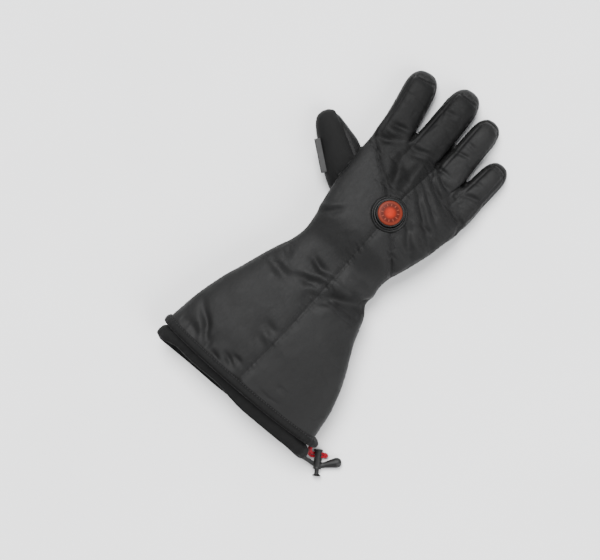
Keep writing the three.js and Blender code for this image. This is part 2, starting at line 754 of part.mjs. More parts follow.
// Rubber strip for wiping a visor, which lies along the thumb's outer shoulder and stands out from it
const wiperMiddle = thumbSpots[2].clone().lerp(thumbSpots[4], wiperPlace);
const wiperHalf = thumbWidth * mix(thumbStations[2].wide, thumbStations[4].wide, wiperPlace) * 0.5;
const wiperTop = wiperRise * thumbHeight * thumbStations[3].tall;
const stripWay = thumbSpots[4].clone().sub(thumbSpots[2]).normalize();
const stripTurn = Math.atan2(
  (thumbWidth / 2) * (thumbStations[4].wide - thumbStations[2].wide),
  thumbSpots[4].distanceTo(thumbSpots[2]),
);
const stripOut = new THREE.Vector2(-stripWay.y, stripWay.x).rotateAround(new THREE.Vector2(), stripTurn);
const stripShape = new THREE.Shape([
  new THREE.Vector2(-wiperIn, -wiperBase),
  new THREE.Vector2(wiperOut * 0.2, -wiperBase),
  new THREE.Vector2(wiperOut, -wiperEdge),
  new THREE.Vector2(wiperOut, -wiperEdge * 0.35),
  new THREE.Vector2(wiperOut * 0.8, 0),
  new THREE.Vector2(-wiperIn, 0),
]);
const strip = new THREE.ExtrudeGeometry(stripShape, { depth: wiperLength, bevelEnabled: false });
strip.translate(0, 0, -wiperLength / 2);
strip.applyMatrix4(
  new THREE.Matrix4()
    .makeTranslation(
      wiperMiddle.x + stripOut.x * wiperHalf,
      wiperMiddle.y + stripOut.y * wiperHalf,
      wiperTop,
    )
    .multiply(
      new THREE.Matrix4().makeBasis(
        new THREE.Vector3(stripOut.x, stripOut.y, 0),
        new THREE.Vector3(0, 0, 1),
        new THREE.Vector3(stripOut.y, -stripOut.x, 0),
      ),
    ),
);
addNode("visor_wiper", mainBody(solid(strip).subtract(thumbSkin(-seamGap))), wiperGrey, 0.55);

// Drawcord: two strands of elastic cord leave the hem, go through the lock and end in one knot.
// The points are counted from the corner of the shell's edge at the hem, their height from the floor.
const hemSection = sectionAt(hemLine);
const hemCorner = new THREE.Vector3(hemSection.centre + hemSection.half, hemLine, 0);
const atCorner = ([x, y, z]) => new THREE.Vector3(x, y, z).add(hemCorner);
const upperStrand = [
  [2.3, -1.5, 17.2],
  [2.6, -5.2, 17.2],
  [3.3, -9.0, 16.6],
  [4.6, -11.3, 14.2],
  [6.2, -12.6, 10.7],
  [7.3, -13.0, 7.4],
  [8.0, -12.9, 5.2],
  [8.94, -12.41, 4.4],
  [12.36, -9.98, 4.4],
  [15.78, -7.55, 4.4],
  [18.2, -6.9, 4.4],
].map(atCorner);
const lowerStrand = [
  [0.8, -1.5, 13.4],
  [1.0, -5.2, 13.4],
  [2.0, -9.6, 12.7],
  [3.4, -12.5, 10.4],
  [5.0, -14.8, 7.3],
  [7.0, -16.0, 5.2],
  [9.0, -15.8, 4.5],
  [10.62, -14.77, 4.4],
  [14.04, -12.34, 4.4],
  [17.46, -9.91, 4.4],
  [18.7, -7.9, 4.4],
].map(atCorner);
const knotSpot = atCorner([18.6, -7.3, 4.4]);

function cordTube(route, radius) {
  const circle = new THREE.Shape();
  for (let i = 0; i < cordSides; i++) {
    const turn = (i / cordSides) * Math.PI * 2;
    circle[i ? "lineTo" : "moveTo"](radius * Math.cos(turn), radius * Math.sin(turn));
  }
  circle.closePath();
  const extrudePath = new THREE.CatmullRomCurve3(route);
  const settings = { steps: 16, extrudePath, curveSegments: 1, bevelEnabled: false };
  return solid(new THREE.ExtrudeGeometry(circle, settings));
}
const cordRadius = cordDiameter / 2;
const cordRoom = joined([upperStrand, lowerStrand].map((route) => cordTube(route, cordRadius + seamGap)));
const knot = solid(new THREE.IcosahedronGeometry(knotRadius, 1).translate(...knotSpot));
addNode(
  "drawcord",
  joined([cordTube(upperStrand, cordRadius), cordTube(lowerStrand, cordRadius), knot]),
  cordRed,
  0.8,
);
addNode("hem_binding", hemSolid.subtract(cordRoom), stretchBlack);

// The lock's own frame: +Z runs from its head to its foot, +X away from the glove, +Y up.
const lockHead = new THREE.Vector3(10.1, -6.8, 4.4).add(hemCorner);
const lockHeading = THREE.MathUtils.degToRad(-54.6);
const lockFrame = new THREE.Matrix4()
  .makeTranslation(lockHead)
  .multiply(
    new THREE.Matrix4().makeBasis(
      new THREE.Vector3(-Math.sin(lockHeading), Math.cos(lockHeading), 0),
      new THREE.Vector3(0, 0, 1),
      new THREE.Vector3(Math.cos(lockHeading), Math.sin(lockHeading), 0),
    ),
  );
const cordDepth = barrelHeadHeight + cordDiameter / 2 + 0.7;
const slotHalf = cordDiameter / 2 + seamGap;
const boreStart = cordDepth + cordSpacing + slotHalf + 0.8;
const barrelProfile = [
  [0, 0],
  [barrelHeadRadius - 0.4, 0],
  [barrelHeadRadius, 0.4],
  [barrelHeadRadius, barrelHeadHeight - 0.3],
  [barrelRadius, barrelHeadHeight],
  [barrelRadius, barrelLength * 0.9],
  [barrelRadius + 0.3, barrelLength * 0.92],
  [barrelRadius + 0.3, barrelLength],
  [plungerRadius + fitGap, barrelLength],
  [plungerRadius + fitGap, boreStart],
  [0, boreStart],
];
// The slot takes both strands of the cord side by side.
const slot = solid(
  new THREE.BoxGeometry(4 * barrelRadius, 2 * slotHalf, cordSpacing + 2 * slotHalf).translate(
    0,
    0,
    cordDepth + cordSpacing / 2,
  ),
);
const pullProfile = [
  [0, 0],
  [pullNeckRadius, 0],
  [pullNeckRadius * 1.12, pullLength * 0.25],
  [pullRadius * 0.88, pullLength * 0.6],
  [pullRadius, pullLength * 0.76],
  [pullRadius * 0.86, pullLength * 0.9],
  [pullRadius * 0.5, pullLength * 0.98],
  [0, pullLength],
];
const pullLean = THREE.MathUtils.degToRad(16);
const pull = solid(
  turned(pullProfile, 16)
    .scale(1, 0.85, 1)
    .rotateY(Math.PI / 2 + pullLean)
    .translate(barrelRadius * 0.55, 0, barrelLength * 0.84),
);
const barrel = solid(turned(barrelProfile, 20)).subtract(slot);
const boreRadius = plungerRadius + fitGap;
const boreProfile = [
  [0, boreStart],
  [boreRadius, boreStart],
  [boreRadius, roomy],
  [0, roomy],
];
const barrelBore = solid(turned(boreProfile, 20));
const lockBody = barrel.add(pull.subtract(barrelBore));
addNode("cord_lock", geometryOf(lockBody).applyMatrix4(lockFrame), plasticBlack, 0.45);

const plungerStart = boreStart + plungerTravel + seamGap;
const plungerProfile = [
  [0, plungerStart],
  [plungerRadius, plungerStart],
  [plungerRadius, plungerStart + plungerLength * 0.88],
  [plungerFootRadius, plungerStart + plungerLength * 0.96],
  [plungerFootRadius, plungerStart + plungerLength],
  [0, plungerStart + plungerLength],
];
addNode("lock_plunger", turned(plungerProfile, 20).applyMatrix4(lockFrame), plasticBlack, 0.45);

// Tether from the corner of the liner's mouth to the side of the lock
const tetherFrom = new THREE.Vector3(2.5, -20.5, 17).add(hemCorner);
const tetherTo = new THREE.Vector3(-0.5 * barrelRadius, 0, barrelLength * 0.8).applyMatrix4(lockFrame);
const tetherShape = new THREE.Shape([
  new THREE.Vector2(-tetherWidth / 2, -tetherThick / 2),
  new THREE.Vector2(tetherWidth / 2, -tetherThick / 2),
  new THREE.Vector2(tetherWidth / 2, tetherThick / 2),
  new THREE.Vector2(-tetherWidth / 2, tetherThick / 2),
]);
const tetherSag = new THREE.Vector3(0.3, 0, -3);
const tetherCurve = new THREE.QuadraticBezierCurve3(
  tetherFrom,
  tetherFrom.clone().lerp(tetherTo, 0.5).add(tetherSag),
  tetherTo,
);
const tetherStrip = solid(
  new THREE.ExtrudeGeometry(tetherShape, { steps: 8, extrudePath: tetherCurve, bevelEnabled: false }),
);
const roomRadius = barrelRadius + seamGap;
const roomProfile = [
  [0, -1],
  [roomRadius, -1],
  [roomRadius, roomy],
  [0, roomy],
];
const barrelRoom = solid(turned(roomProfile, 20).applyMatrix4(lockFrame));
addNode(
  "lock_tether",
  mainBody(tetherStrip.subtract(linerSkin(-seamGap)).subtract(barrelRoom)),
  stretchBlack,
  0.9,
);

export default glove;
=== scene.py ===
"""Heated winter gauntlet glove, dressed in cloth, leather, rubber and plastic.

The glove's skin is lofted, fused into one surface and pressed into seams, puffs and folds. It is then
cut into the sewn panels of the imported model. Lengths are in millimetres until a mesh is written, and
+Y runs to the fingertips, +X to the little finger, +Z up from the back of the hand.
"""
import json
import math

import bpy
import numpy as np
from mathutils import Matrix, Vector
from mathutils.bvhtree import BVHTree

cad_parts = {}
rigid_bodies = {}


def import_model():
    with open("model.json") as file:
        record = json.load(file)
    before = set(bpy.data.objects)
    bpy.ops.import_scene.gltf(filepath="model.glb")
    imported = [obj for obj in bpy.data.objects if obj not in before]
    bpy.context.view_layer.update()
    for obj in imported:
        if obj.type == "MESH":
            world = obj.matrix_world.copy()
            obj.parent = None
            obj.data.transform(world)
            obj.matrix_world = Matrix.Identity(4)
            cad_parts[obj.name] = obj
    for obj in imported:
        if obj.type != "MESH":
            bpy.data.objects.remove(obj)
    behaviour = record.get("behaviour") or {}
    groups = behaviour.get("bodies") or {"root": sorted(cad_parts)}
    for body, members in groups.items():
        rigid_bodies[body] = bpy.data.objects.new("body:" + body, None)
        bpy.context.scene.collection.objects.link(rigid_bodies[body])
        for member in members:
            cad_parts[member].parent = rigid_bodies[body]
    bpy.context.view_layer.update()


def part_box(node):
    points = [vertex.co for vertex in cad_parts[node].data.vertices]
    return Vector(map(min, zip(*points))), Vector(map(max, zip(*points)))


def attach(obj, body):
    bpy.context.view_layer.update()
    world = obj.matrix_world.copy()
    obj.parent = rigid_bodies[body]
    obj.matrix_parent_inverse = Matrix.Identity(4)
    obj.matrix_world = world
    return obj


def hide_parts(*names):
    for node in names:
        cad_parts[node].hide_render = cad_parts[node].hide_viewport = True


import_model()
MM = 0.001

# Sizes of the glove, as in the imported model
PALM_WIDTH, PALM_LENGTH, PALM_HEIGHT = 121.0, 105.0, 46.0
WRIST_WIDTH, WRIST_HEIGHT, WRIST_BACK = 89.0, 41.0, 50.0
GAUNTLET_LENGTH, GAUNTLET_WIDTH, GAUNTLET_HEIGHT = 143.0, 176.0, 52.0
FINGER_LENGTH, FINGER_WIDTH, FINGER_HEIGHT = 96.5, 33.2, 28.0
THUMB_LENGTH, THUMB_WIDTH, THUMB_HEIGHT = 92.0, 44.0, 34.0
FOOT_SINK = 1.2
HEM_WIDTH, HEM_PAD, HEM_EAR = 7.5, 2.0, 5.0
# The binding's section: its middle and half width behind the hem's edge, and its stitched groove
TAPE_MIDDLE, TAPE_HALF, TAPE_GROOVE = 3.5, 4.3, 0.4
SHELL_WALL, LINER_WALL, LINER_GAP = 3.6, 2.4, 0.5
LINER_REACH, LINER_SHOW, LINER_SAG = 92.0, 13.0, 4.0
LINER_FLARE, LINER_SHIFT = 6.5, 2.2
LINER_OUT = HEM_WIDTH + 0.3 + LINER_SHOW
LINER_RIBS, HEM_PUCKERS = 37, 96
HEM_Y = -WRIST_BACK - GAUNTLET_LENGTH
BODY_POWER, FINGER_POWER = 2.35, 2.5
ROOT_SLANT, SLANT_FROM, SLANT_OVER = 0.19, 0.7, 0.34
# A finger's root is boxier and a little wider than the rest, and starts inside the hand
ROOT_POWER, ROOT_SWELL, ROOT_START, ROOT_SUNK = 6.0, 0.06, -0.12, 0.8
TIP_POWER, TIP_LIFT = 2.4, 0.25
# How high the finished skin stays over the ground
LIFTED = 0.05

SKIN_VOXEL = 1.05
SEAM_REACH = 14.0
# Depth and width of the dips along the seams and along the seam lines of the fingers
SEAM_DIPS = ((0.8, 1.3), (0.7, 5.5))
LINE_DIPS = ((0.8, 1.2), (0.35, 3.5))
# Uneven cloth: height, size of its lumps, seed
CLOTH_LUMPS = ((0.8, 34, 5), (0.4, 15, 6), (0.14, 6.5, 7))
PUCKER_HEIGHT, PUCKER_PITCH, PUCKER_REACH = 0.5, 5.2, 5
CREASE_DEPTH, HEM_TUCK, CROSS_TUCK = 0.45, 1.5, 0.9
# The seam line lies this far in from the edge of a finger, between two shares of its length
LINE_INSET, LINE_FROM, LINE_TO, LINE_FADE = 4.6, 0.14, 0.9, 40

# Stations of the gauntlet: along, spread, shift, tall, edge. The hand's have close as well.
GAUNTLET_ROWS = [
    (1.08, 1.01, -0.036, 1.0, 0.48),
    (1.0, 0.99, -0.037, 1.0, 0.48),
    (0.91, 0.955, -0.036, 1.0, 0.49),
    (0.81, 0.9, -0.034, 0.98, 0.5),
    (0.72, 0.83, -0.037, 0.94, 0.5),
    (0.63, 0.74, -0.038, 0.88, 0.51),
    (0.54, 0.63, -0.042, 0.8, 0.52),
    (0.45, 0.5, -0.046, 0.7, 0.53),
    (0.36, 0.38, -0.051, 0.58, 0.54),
    (0.28, 0.29, -0.05, 0.44, 0.55),
    (0.19, 0.175, -0.05, 0.26, 0.56),
    (0.12, 0.045, -0.055, 0.08, 0.56),
    (0.06, 0.03, -0.044, 0.0, 0.57),
]
HAND_ROWS = [
    (0.0, 0.0, -0.062, 0.0, 0.58, 0.0),
    (0.11, 0.05, -0.06, 0.45, 0.58, 0.0),
    (0.24, 0.28, -0.05, 1.0, 0.58, 0.0),
    (0.38, 0.515, -0.039, 1.0, 0.59, 0.04),
    (0.52, 0.7, -0.027, 1.0, 0.6, 0.14),
    (0.66, 0.83, -0.019, 1.0, 0.6, 0.27),
    (0.8, 0.94, -0.014, 1.0, 0.58, 0.42),
    (0.93, 0.98, -0.01, 1.0, 0.55, 0.6),
    (1.06, 0.96, -0.008, 1.0, 0.53, 0.84),
    (1.17, 0.88, -0.012, 1.0, 0.52, 1.06),
]
# Fingers: root, start, reach, wide, tall, lean, bow, taper, round
FINGERS = {
    "index": (-0.36, 0.95, 0.87, 0.97, 0.98, -0.125, -0.062, 0.03, 0.26),
    "middle": (-0.112, 0.95, 1.0, 1.0, 1.0, 0.0, -0.018, 0.07, 0.25),
    "ring": (0.1505, 0.95, 0.912, 0.862, 0.93, 0.003, -0.01, 0.08, 0.24),
    "little": (0.375, 0.9, 0.705, 0.83, 0.86, 0.07, 0.0, 0.12, 0.28),
}
THUMB_ROOT = (-0.45, 0.49)
# Thumb stations: out, up, wide, tall
THUMB_ROWS = [
    (0.0, 0.0, 0.93, 0.86),
    (0.2, 0.09, 0.99, 0.86),
    (0.38, 0.185, 0.945, 0.86),
    (0.522, 0.274, 0.84, 0.83),
    (0.672, 0.344, 0.715, 0.78),
    (0.783, 0.402, 0.6, 0.71),
    (0.86, 0.447, 0.44, 0.57),
    (0.899, 0.4694, 0.22, 0.34),
]

# Folds of the back, in millimetres and degrees: x, y, turn, length, width, height. The first three
# are the lines where neighbouring fingers touch.
FINGER_GAPS = 3
FOLD_GAIN, FOLD_SPAN, GAP_SPAN = 1.75, 0.56, 0.55
# How far the folds stray, in millimetres, and over lumps of which size
FOLD_DRIFT = ((2.2, 22, 0), (0.5, 7, 2))
FOLDS = [
    (-31, 84, 92, 22, 1.0, -1.9),
    (3.6, 81, 90, 24, 0.9, -1.7),
    (32.5, 70, 76, 22, 0.9, -1.7),
    (-5, 50, -78, 42, 7, 2.4),
    (-20, 42, -60, 38, 6, -2.4),
    (-31, 60, -78, 30, 6, 1.1),
    (-15, 71, 8, 27, 3.2, -0.8),
    (-17, 75, 8, 27, 3.5, 0.5),
    (-12, 66, 14, 19, 3, -0.7),
    (-50, 59, 27, 13, 3, -1.0),
    (-46, 76, 16, 15, 3, -1.2),
    (-49, 68, 20, 16, 3.5, 0.7),
    (23, 27, -36, 52, 3.2, -1.5),
    (22, 39, -32, 40, 2.8, -1.2),
    (25, 6, -46, 36, 3.6, -1.3),
    (22, 51, -22, 38, 3, -1.3),
    (23, 62, -22, 38, 3, -0.9),
    (39, 51, -27, 23, 3, -1.1),
    (40, 3, -14, 22, 5, 0.8),
    (12, 70, 10, 12, 1.7, -0.9),
    (14, 93, 19, 11, 1.8, -0.8),
    (17, 106, -4, 9, 1.8, -0.6),
    (19, 63, -8, 11, 2, -0.9),
    (48, 68, 18, 16, 2.2, -1.2),
    (43, 81, 14, 9, 1.8, -0.6),
    (-19, 115, 21, 12, 2.4, -0.7),
    (-12, 110, 14, 14, 3, -0.5),
    (-47, -20, 48, 26, 3.5, 0.8),
    (-43, -23, 49, 23, 4, -0.9),
    (-63, -178, -44, 36, 4, -1.9),
    (-63, -185, -34, 24, 4, 0.8),
    (-68, -187, -11, 19, 4, -1.0),
    (-37, -192, -11, 9, 2.4, -1.2),
    (-26, -187, -21, 12, 2.6, -1.4),
    (-21, -182, -12, 11, 2.4, -1.0),
    (-15, -141, -36, 18, 5, -1.2),
    (-18, -152, -49, 21, 6, -1.0),
    (-10, -146, -9, 18, 5, 0.9),
    (-46, -94, -11, 26, 6, -1.9),
    (-50, -77, -40, 13, 4, -1.3),
    (-18, -68, -8, 20, 4, -1.7),
    (-16, -84, 21, 27, 4.6, -1.7),
    (-17, -79, 22, 28, 4, 0.9),
    (-9, -95, 25, 15, 3.5, -0.8),
    (20, -81, 33, 46, 6, -3.1),
    (6, -72, 14, 34, 7, 1.7),
    (33, -80, 66, 24, 7, -2.6),
    (16, -60, -10, 26, 7, 1.4),
]


def spline(knots, values, at):
    """A smooth curve through the values at the knots, read at some places."""
    knots, values, at = (np.asarray(a, float) for a in (knots, values, at))
    slope = np.gradient(values, knots)
    k = np.clip(np.searchsorted(knots, at) - 1, 0, len(knots) - 2)
    span = knots[k + 1] - knots[k]
    t = np.clip((at - knots[k]) / span, 0, 1)
    t2, t3 = t * t, t * t * t
    return (
        (2 * t3 - 3 * t2 + 1) * values[k]
        + (t3 - 2 * t2 + t) * span * slope[k]
        + (3 * t2 - 2 * t3) * values[k + 1]
        + (t3 - t2) * span * slope[k + 1]
    )


def mix(a, b, t):
    return a + (b - a) * t


def smooth(low, high, value):
    t = np.clip((value - low) / (high - low), 0, 1)
    return t * t * (3 - 2 * t)


def signed_power(value, power):
    return np.sign(value) * np.abs(value) ** power


def body_table():
    """Rows of the hand and gauntlet: y, centre, half width, top, edge height, slant of the end."""
    rows = []
    for along, spread, shift, tall, edge in GAUNTLET_ROWS:
        top = mix(WRIST_HEIGHT, GAUNTLET_HEIGHT, tall)
        half = mix(WRIST_WIDTH, GAUNTLET_WIDTH, spread) / 2
        y = -WRIST_BACK - along * GAUNTLET_LENGTH
        rows.append((y, shift * GAUNTLET_WIDTH, half, top, top * edge, 0))
    for along, spread, shift, tall, edge, close in HAND_ROWS:
        top = mix(mix(WRIST_HEIGHT, PALM_HEIGHT, tall), FINGER_HEIGHT, close)
        half = mix(WRIST_WIDTH, PALM_WIDTH, spread) / 2
        slant = np.clip((along - SLANT_FROM) / SLANT_OVER, 0, 1) * ROOT_SLANT * PALM_LENGTH
        y = -WRIST_BACK + along * PALM_LENGTH
        rows.append((y, shift * PALM_WIDTH, half, top, top * edge, slant))
    return np.array(rows)


BODY = body_table()


def body_at(y):
    """Centre, half width, top, edge height and slant of the body at some places along it."""
    return [spline(BODY[:, 0], BODY[:, column], y) for column in range(1, 6)]


def middle_at(y):
    """The body's centre and half width at one place."""
    return (v.item() for v in body_at(np.array([y]))[:2])


def full_turn(sides):
    return np.linspace(0, 2 * math.pi, sides, endpoint=False)


def body_rings(ys, inset=0.0, sides=144, flare=0.0, sag=0.0):
    """Rings of the body, n by sides by 3. Flare widens them, and sag brings their tops down."""
    centre, half, top, edge, slant = (v[:, None] for v in body_at(ys))
    turn = full_turn(sides)[None, :]
    c = signed_power(np.cos(turn), 2 / BODY_POWER)
    q = signed_power(np.sin(turn), 2 / BODY_POWER)
    flare, sag = (np.reshape(np.broadcast_to(v, len(ys)), (-1, 1)) for v in (flare, sag))
    half = half + flare
    x = centre + (half - inset) * c
    z = edge + np.where(q > 0, top - sag - edge - inset, edge + FOOT_SINK - inset) * q
    y = ys[:, None] - slant * np.clip((x - centre) / half, 0, 1)
    return np.stack([x, np.broadcast_to(y, x.shape), z], axis=2)


def ovals(centre, across, half, rise, power, sides=48):
    """Upright rings round a line, with a half width in a direction across it and a half height."""
    turn = full_turn(sides)[None, :]
    side = half[:, None] * signed_power(np.cos(turn), power)
    up = rise[:, None] * signed_power(np.sin(turn), power)
    x, y, z = (v[:, None] for v in centre)
    return np.stack([x + side * across[0], y + side * across[1], z + up], axis=2)


def finger_rings(row, count=64):
    """Rings of a finger from inside the hand to its rounded tip."""
    root, start, reach, wide, tall, lean, bow, taper, tip = row
    length = reach * FINGER_LENGTH
    straight = np.linspace(ROOT_START, 1 - tip, count // 2)
    rounded = 1 - tip * np.cos(np.linspace(0, math.pi / 2, count // 2)[1:])
    share = np.minimum(np.concatenate([straight, rounded]), 0.999)
    s = share * length
    x = root * PALM_WIDTH + lean * s + bow * s * share
    y = -WRIST_BACK + start * PALM_LENGTH + s
    heading = np.arctan(lean + 2 * bow * share)
    past = np.clip((share - (1 - tip)) / tip, 0, 1)
    shrink = (1 - past**TIP_POWER) ** (1 / TIP_POWER)
    sunk = mix(ROOT_SUNK, 1.0, smooth(ROOT_START, 0.03, share))
    half = wide * FINGER_WIDTH * (1 - taper * share**2) / 2 * shrink * sunk
    half *= 1 + ROOT_SWELL * smooth(0.4, 0.14, share)
    height = tall * FINGER_HEIGHT * (1.08 - 0.2 * share)
    squeezed = height * mix(1, shrink, 0.75) * sunk
    low = (height - squeezed) * TIP_LIFT - FOOT_SINK
    middle, rise = (low + squeezed - FOOT_SINK) / 2, (squeezed - FOOT_SINK - low) / 2
    power = 2 / mix(FINGER_POWER, ROOT_POWER, smooth(0.5, 0.16, share))[:, None]
    across = np.cos(heading)[:, None], -np.sin(heading)[:, None]
    return ovals((x, y, middle), across, np.maximum(half, 0.3), np.maximum(rise, 0.3), power)


def thumb_rings(count=60):
    """Rings of the thumb along its bent centre line."""
    y0 = -WRIST_BACK + THUMB_ROOT[1] * PALM_LENGTH
    centre, half = middle_at(y0)
    rows = np.array(THUMB_ROWS)
    spots = rows[:, :2] * [-THUMB_LENGTH, THUMB_LENGTH] + [centre + THUMB_ROOT[0] * half, y0]
    way = spots[-1] - spots[2]
    way /= np.linalg.norm(way)
    knots = np.arange(len(rows), dtype=float)
    at = np.linspace(0, len(rows) - 1, count)
    x, y = (spline(knots, spots[:, axis], at) for axis in range(2))
    half = spline(knots, rows[:, 2], at) * THUMB_WIDTH / 2
    tall = spline(knots, rows[:, 3], at) * THUMB_HEIGHT
    centre = x, y, tall / 2 - FOOT_SINK
    return ovals(centre, (way[1], -way[0]), half, tall / 2, 2 / FINGER_POWER)


def skin_of(rings, closed=True, wrap=False):
    """Points and faces of a skin over rings, with a fan over each end where it is closed."""
    n, sides = rings.shape[:2]
    points = rings.reshape(-1, 3)
    faces = []
    for k in range(n if wrap else n - 1):
        a, b = k * sides, ((k + 1) % n) * sides
        faces += [(a + i, a + (i + 1) % sides, b + (i + 1) % sides, b + i) for i in range(sides)]
    if closed:
        hubs = [rings[0].mean(axis=0), rings[-1].mean(axis=0)]
        first = len(points)
        points = np.vstack([points, hubs])
        last = (n - 1) * sides
        faces += [(first, (i + 1) % sides, i) for i in range(sides)]
        faces += [(first + 1, last + i, last + (i + 1) % sides) for i in range(sides)]
    return points, faces


def joined(parts):
    points, faces, base = [], [], 0
    for p, f in parts:
        points.append(p)
        faces += [tuple(base + i for i in face) for face in f]
        base += len(p)
    return np.vstack(points), faces


def mesh_object(name, points, faces, material=None, attributes=None):
    """An object from points in millimetres, shaded smooth, with float values kept at its points."""
    mesh = bpy.data.meshes.new(name)
    whole = [tuple(int(i) for i in face) for face in faces]
    mesh.from_pydata((np.asarray(points) * MM).tolist(), [], whole)
    mesh.validate()
    for key, values in (attributes or {}).items():
        layer = mesh.attributes.new(key, "FLOAT", "POINT")
        layer.data.foreach_set("value", np.asarray(values, np.float32))
    mesh.polygons.foreach_set("use_smooth", [True] * len(mesh.polygons))
    if material:
        mesh.materials.append(material)
    obj = bpy.data.objects.new(name, mesh)
    bpy.context.collection.objects.link(obj)
    return obj


def read_points(mesh):
    flat = np.empty(len(mesh.vertices) * 3)
    mesh.vertices.foreach_get("co", flat)
    return flat.reshape(-1, 3) / MM


def remeshed(points, faces, voxel):
    """Points and quads of the closed skins fused into one surface."""
    obj = mesh_object("fusing", points, faces)
    modifier = obj.modifiers.new("fuse", "REMESH")
    modifier.mode = "VOXEL"
    modifier.voxel_size = voxel * MM
    made = obj.evaluated_get(bpy.context.evaluated_depsgraph_get()).to_mesh()
    fused = read_points(made)
    quads = np.array([tuple(p.vertices) for p in made.polygons if len(p.vertices) == 4])
    bpy.data.objects.remove(obj, do_unlink=True)
    return fused, quads


def summed(index, values, count):
    return np.stack([np.bincount(index, values[:, axis], count) for axis in range(3)], axis=1)


def smoothed(points, quads, rounds, share=0.5):
    """The points drawn towards the mean of their neighbours, a number of rounds."""
    a, b = np.vstack([quads[:, [i, (i + 1) % 4]] for i in range(4)]).T
    size = len(points)
    count = np.maximum(np.bincount(a, minlength=size) + np.bincount(b, minlength=size), 1)
    for _ in range(rounds):
        total = summed(a, points[b], size) + summed(b, points[a], size)
        points = points + (total / count[:, None] - points) * share
    return points


def normals_of(points, quads):
    a, b, c, d = (points[quads[:, corner]] for corner in range(4))
    face = np.cross(c - a, d - b)
    normal = sum(summed(quads[:, corner], face, len(points)) for corner in range(4))
    return normal / np.maximum(np.linalg.norm(normal, axis=1, keepdims=True), 1e-9)


def lumps(points, size, seed):
    """Smooth noise from -1 to 1, with lumps of about a size in millimetres."""
    lattice = np.random.default_rng(seed).random((24, 24, 24)) * 2 - 1
    p = points / size
    base = np.floor(p).astype(int)
    f = p - base
    f = f * f * (3 - 2 * f)
    total = np.zeros(len(points))
    for corner in range(8):
        d = [(corner >> axis) & 1 for axis in range(3)]
        weight = np.ones(len(points))
        for axis in range(3):
            weight *= f[:, axis] if d[axis] else 1 - f[:, axis]
        i, j, k = ((base[:, axis] + d[axis]) % 24 for axis in range(3))
        total += weight * lattice[i, j, k]
    return total


def node_distances(points, names, reach):
    """Distance from each point to each CAD node's surface, up to a reach, in millimetres."""
    found = np.full((len(points), len(names)), reach)
    for column, name in enumerate(names):
        mesh = bpy.data.objects[name].data
        corners = [v.co.copy() for v in mesh.vertices]
        tree = BVHTree.FromPolygons(corners, [tuple(p.vertices) for p in mesh.polygons])
        box = np.array([tuple(c) for c in corners]) / MM
        inside = (points > box.min(axis=0) - reach) & (points < box.max(axis=0) + reach)
        for i in np.nonzero(inside.all(axis=1))[0]:
            distance = tree.find_nearest(Vector(points[i] * MM), reach * MM)[3]
            if distance is not None:
                found[i, column] = distance / MM
    return found


def fold_heights(points):
    """Height of all the folds together at some points of the back."""
    drift_x, drift_y = (
        sum(stray * lumps(points, size, seed + more) for stray, size, more in FOLD_DRIFT)
        for seed in (31, 32)
    )
    total = np.zeros(len(points))
    for number, (x, y, turn, length, width, height) in enumerate(FOLDS):
        c, s = math.cos(math.radians(turn)), math.sin(math.radians(turn))
        is_gap = number < FINGER_GAPS
        loose = 0.0 if is_gap else 1.0
        dx, dy = points[:, 0] + loose * drift_x - x, points[:, 1] + loose * drift_y - y
        run, off = dx * c + dy * s, dy * c - dx * s
        off = off + 0.12 * width * np.sin(run * 0.3 + x)
        ends = (run / (length * GAP_SPAN)) ** 4 if is_gap else (run / (length * FOLD_SPAN)) ** 2
        total += FOLD_GAIN * height * np.exp(-ends - (off / width) ** 2)
    return total


def finger_side_lines(points):
    """Distance in plan to the seam lines along the fingers' backs, both edges of the little one's."""
    nearest = np.full(len(points), SEAM_REACH)
    for name, row in FINGERS.items():
        root, start, reach, wide, _, lean, bow, taper, _ = row
        length = reach * FINGER_LENGTH
        s = points[:, 1] + WRIST_BACK - start * PALM_LENGTH
        share = s / length
        middle = root * PALM_WIDTH + lean * s + bow * s * share
        half = wide * FINGER_WIDTH * (1 - taper * np.clip(share, 0, 1) ** 2) / 2
        for side in (-1, 1) if name == "little" else (-1,):
            distance = np.abs(points[:, 0] - middle - side * (half - LINE_INSET))
            distance = distance + LINE_FADE * np.clip(LINE_FROM - share, 0, 1)
            distance = distance + LINE_FADE * np.clip(share - LINE_TO, 0, 1)
            nearest = np.minimum(nearest, distance)
    return nearest


# The sewn panels, and the cloth of each
PANEL_CLOTHS = {
    "gauntlet_thumb_side": "nylon",
    "back_index_middle": "finger_shell",
    "back_ring_little": "nylon",
    "back_little_side": "nylon",
    "gauntlet_little_side": "softshell",
    "palm_leather": "leather",
    "gauntlet_underside": "nylon",
    "thumb_back": "stretch",
    "thumb_leather": "leather",
}
PANELS = list(PANEL_CLOTHS)

# The button's foot in plan, the axis that it is pressed on, and the height that the cloth under it
# keeps below, over the flange's foot
BUTTON_SPOT = (-0.73, 7.96)
BUTTON_AXIS = (0, 0.146898, 0.989152)
FLANGE_RADIUS, LENS_RADIUS = 16.8, 11.4
FLANGE_FLOOR = 0.7


def frame_of(origin, x_way, y_way, z_way):
    """A frame's 4 by 4 matrix from its origin and its three directions."""
    made = Matrix.Identity(4)
    for column, way in enumerate((x_way, y_way, z_way)):
        for row in range(3):
            made[row][column] = way[row]
    made.translation = Vector(origin)
    return np.array(made)


def button_frame():
    """The button's frame: its foot's centre, and +Z along the axis that it is pressed on."""
    _, lean, rise = BUTTON_AXIS
    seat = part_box("button_flange")[0].z / MM + FLANGE_RADIUS * lean
    return frame_of((*BUTTON_SPOT, seat), (1, 0, 0), (0, rise, -lean), BUTTON_AXIS)


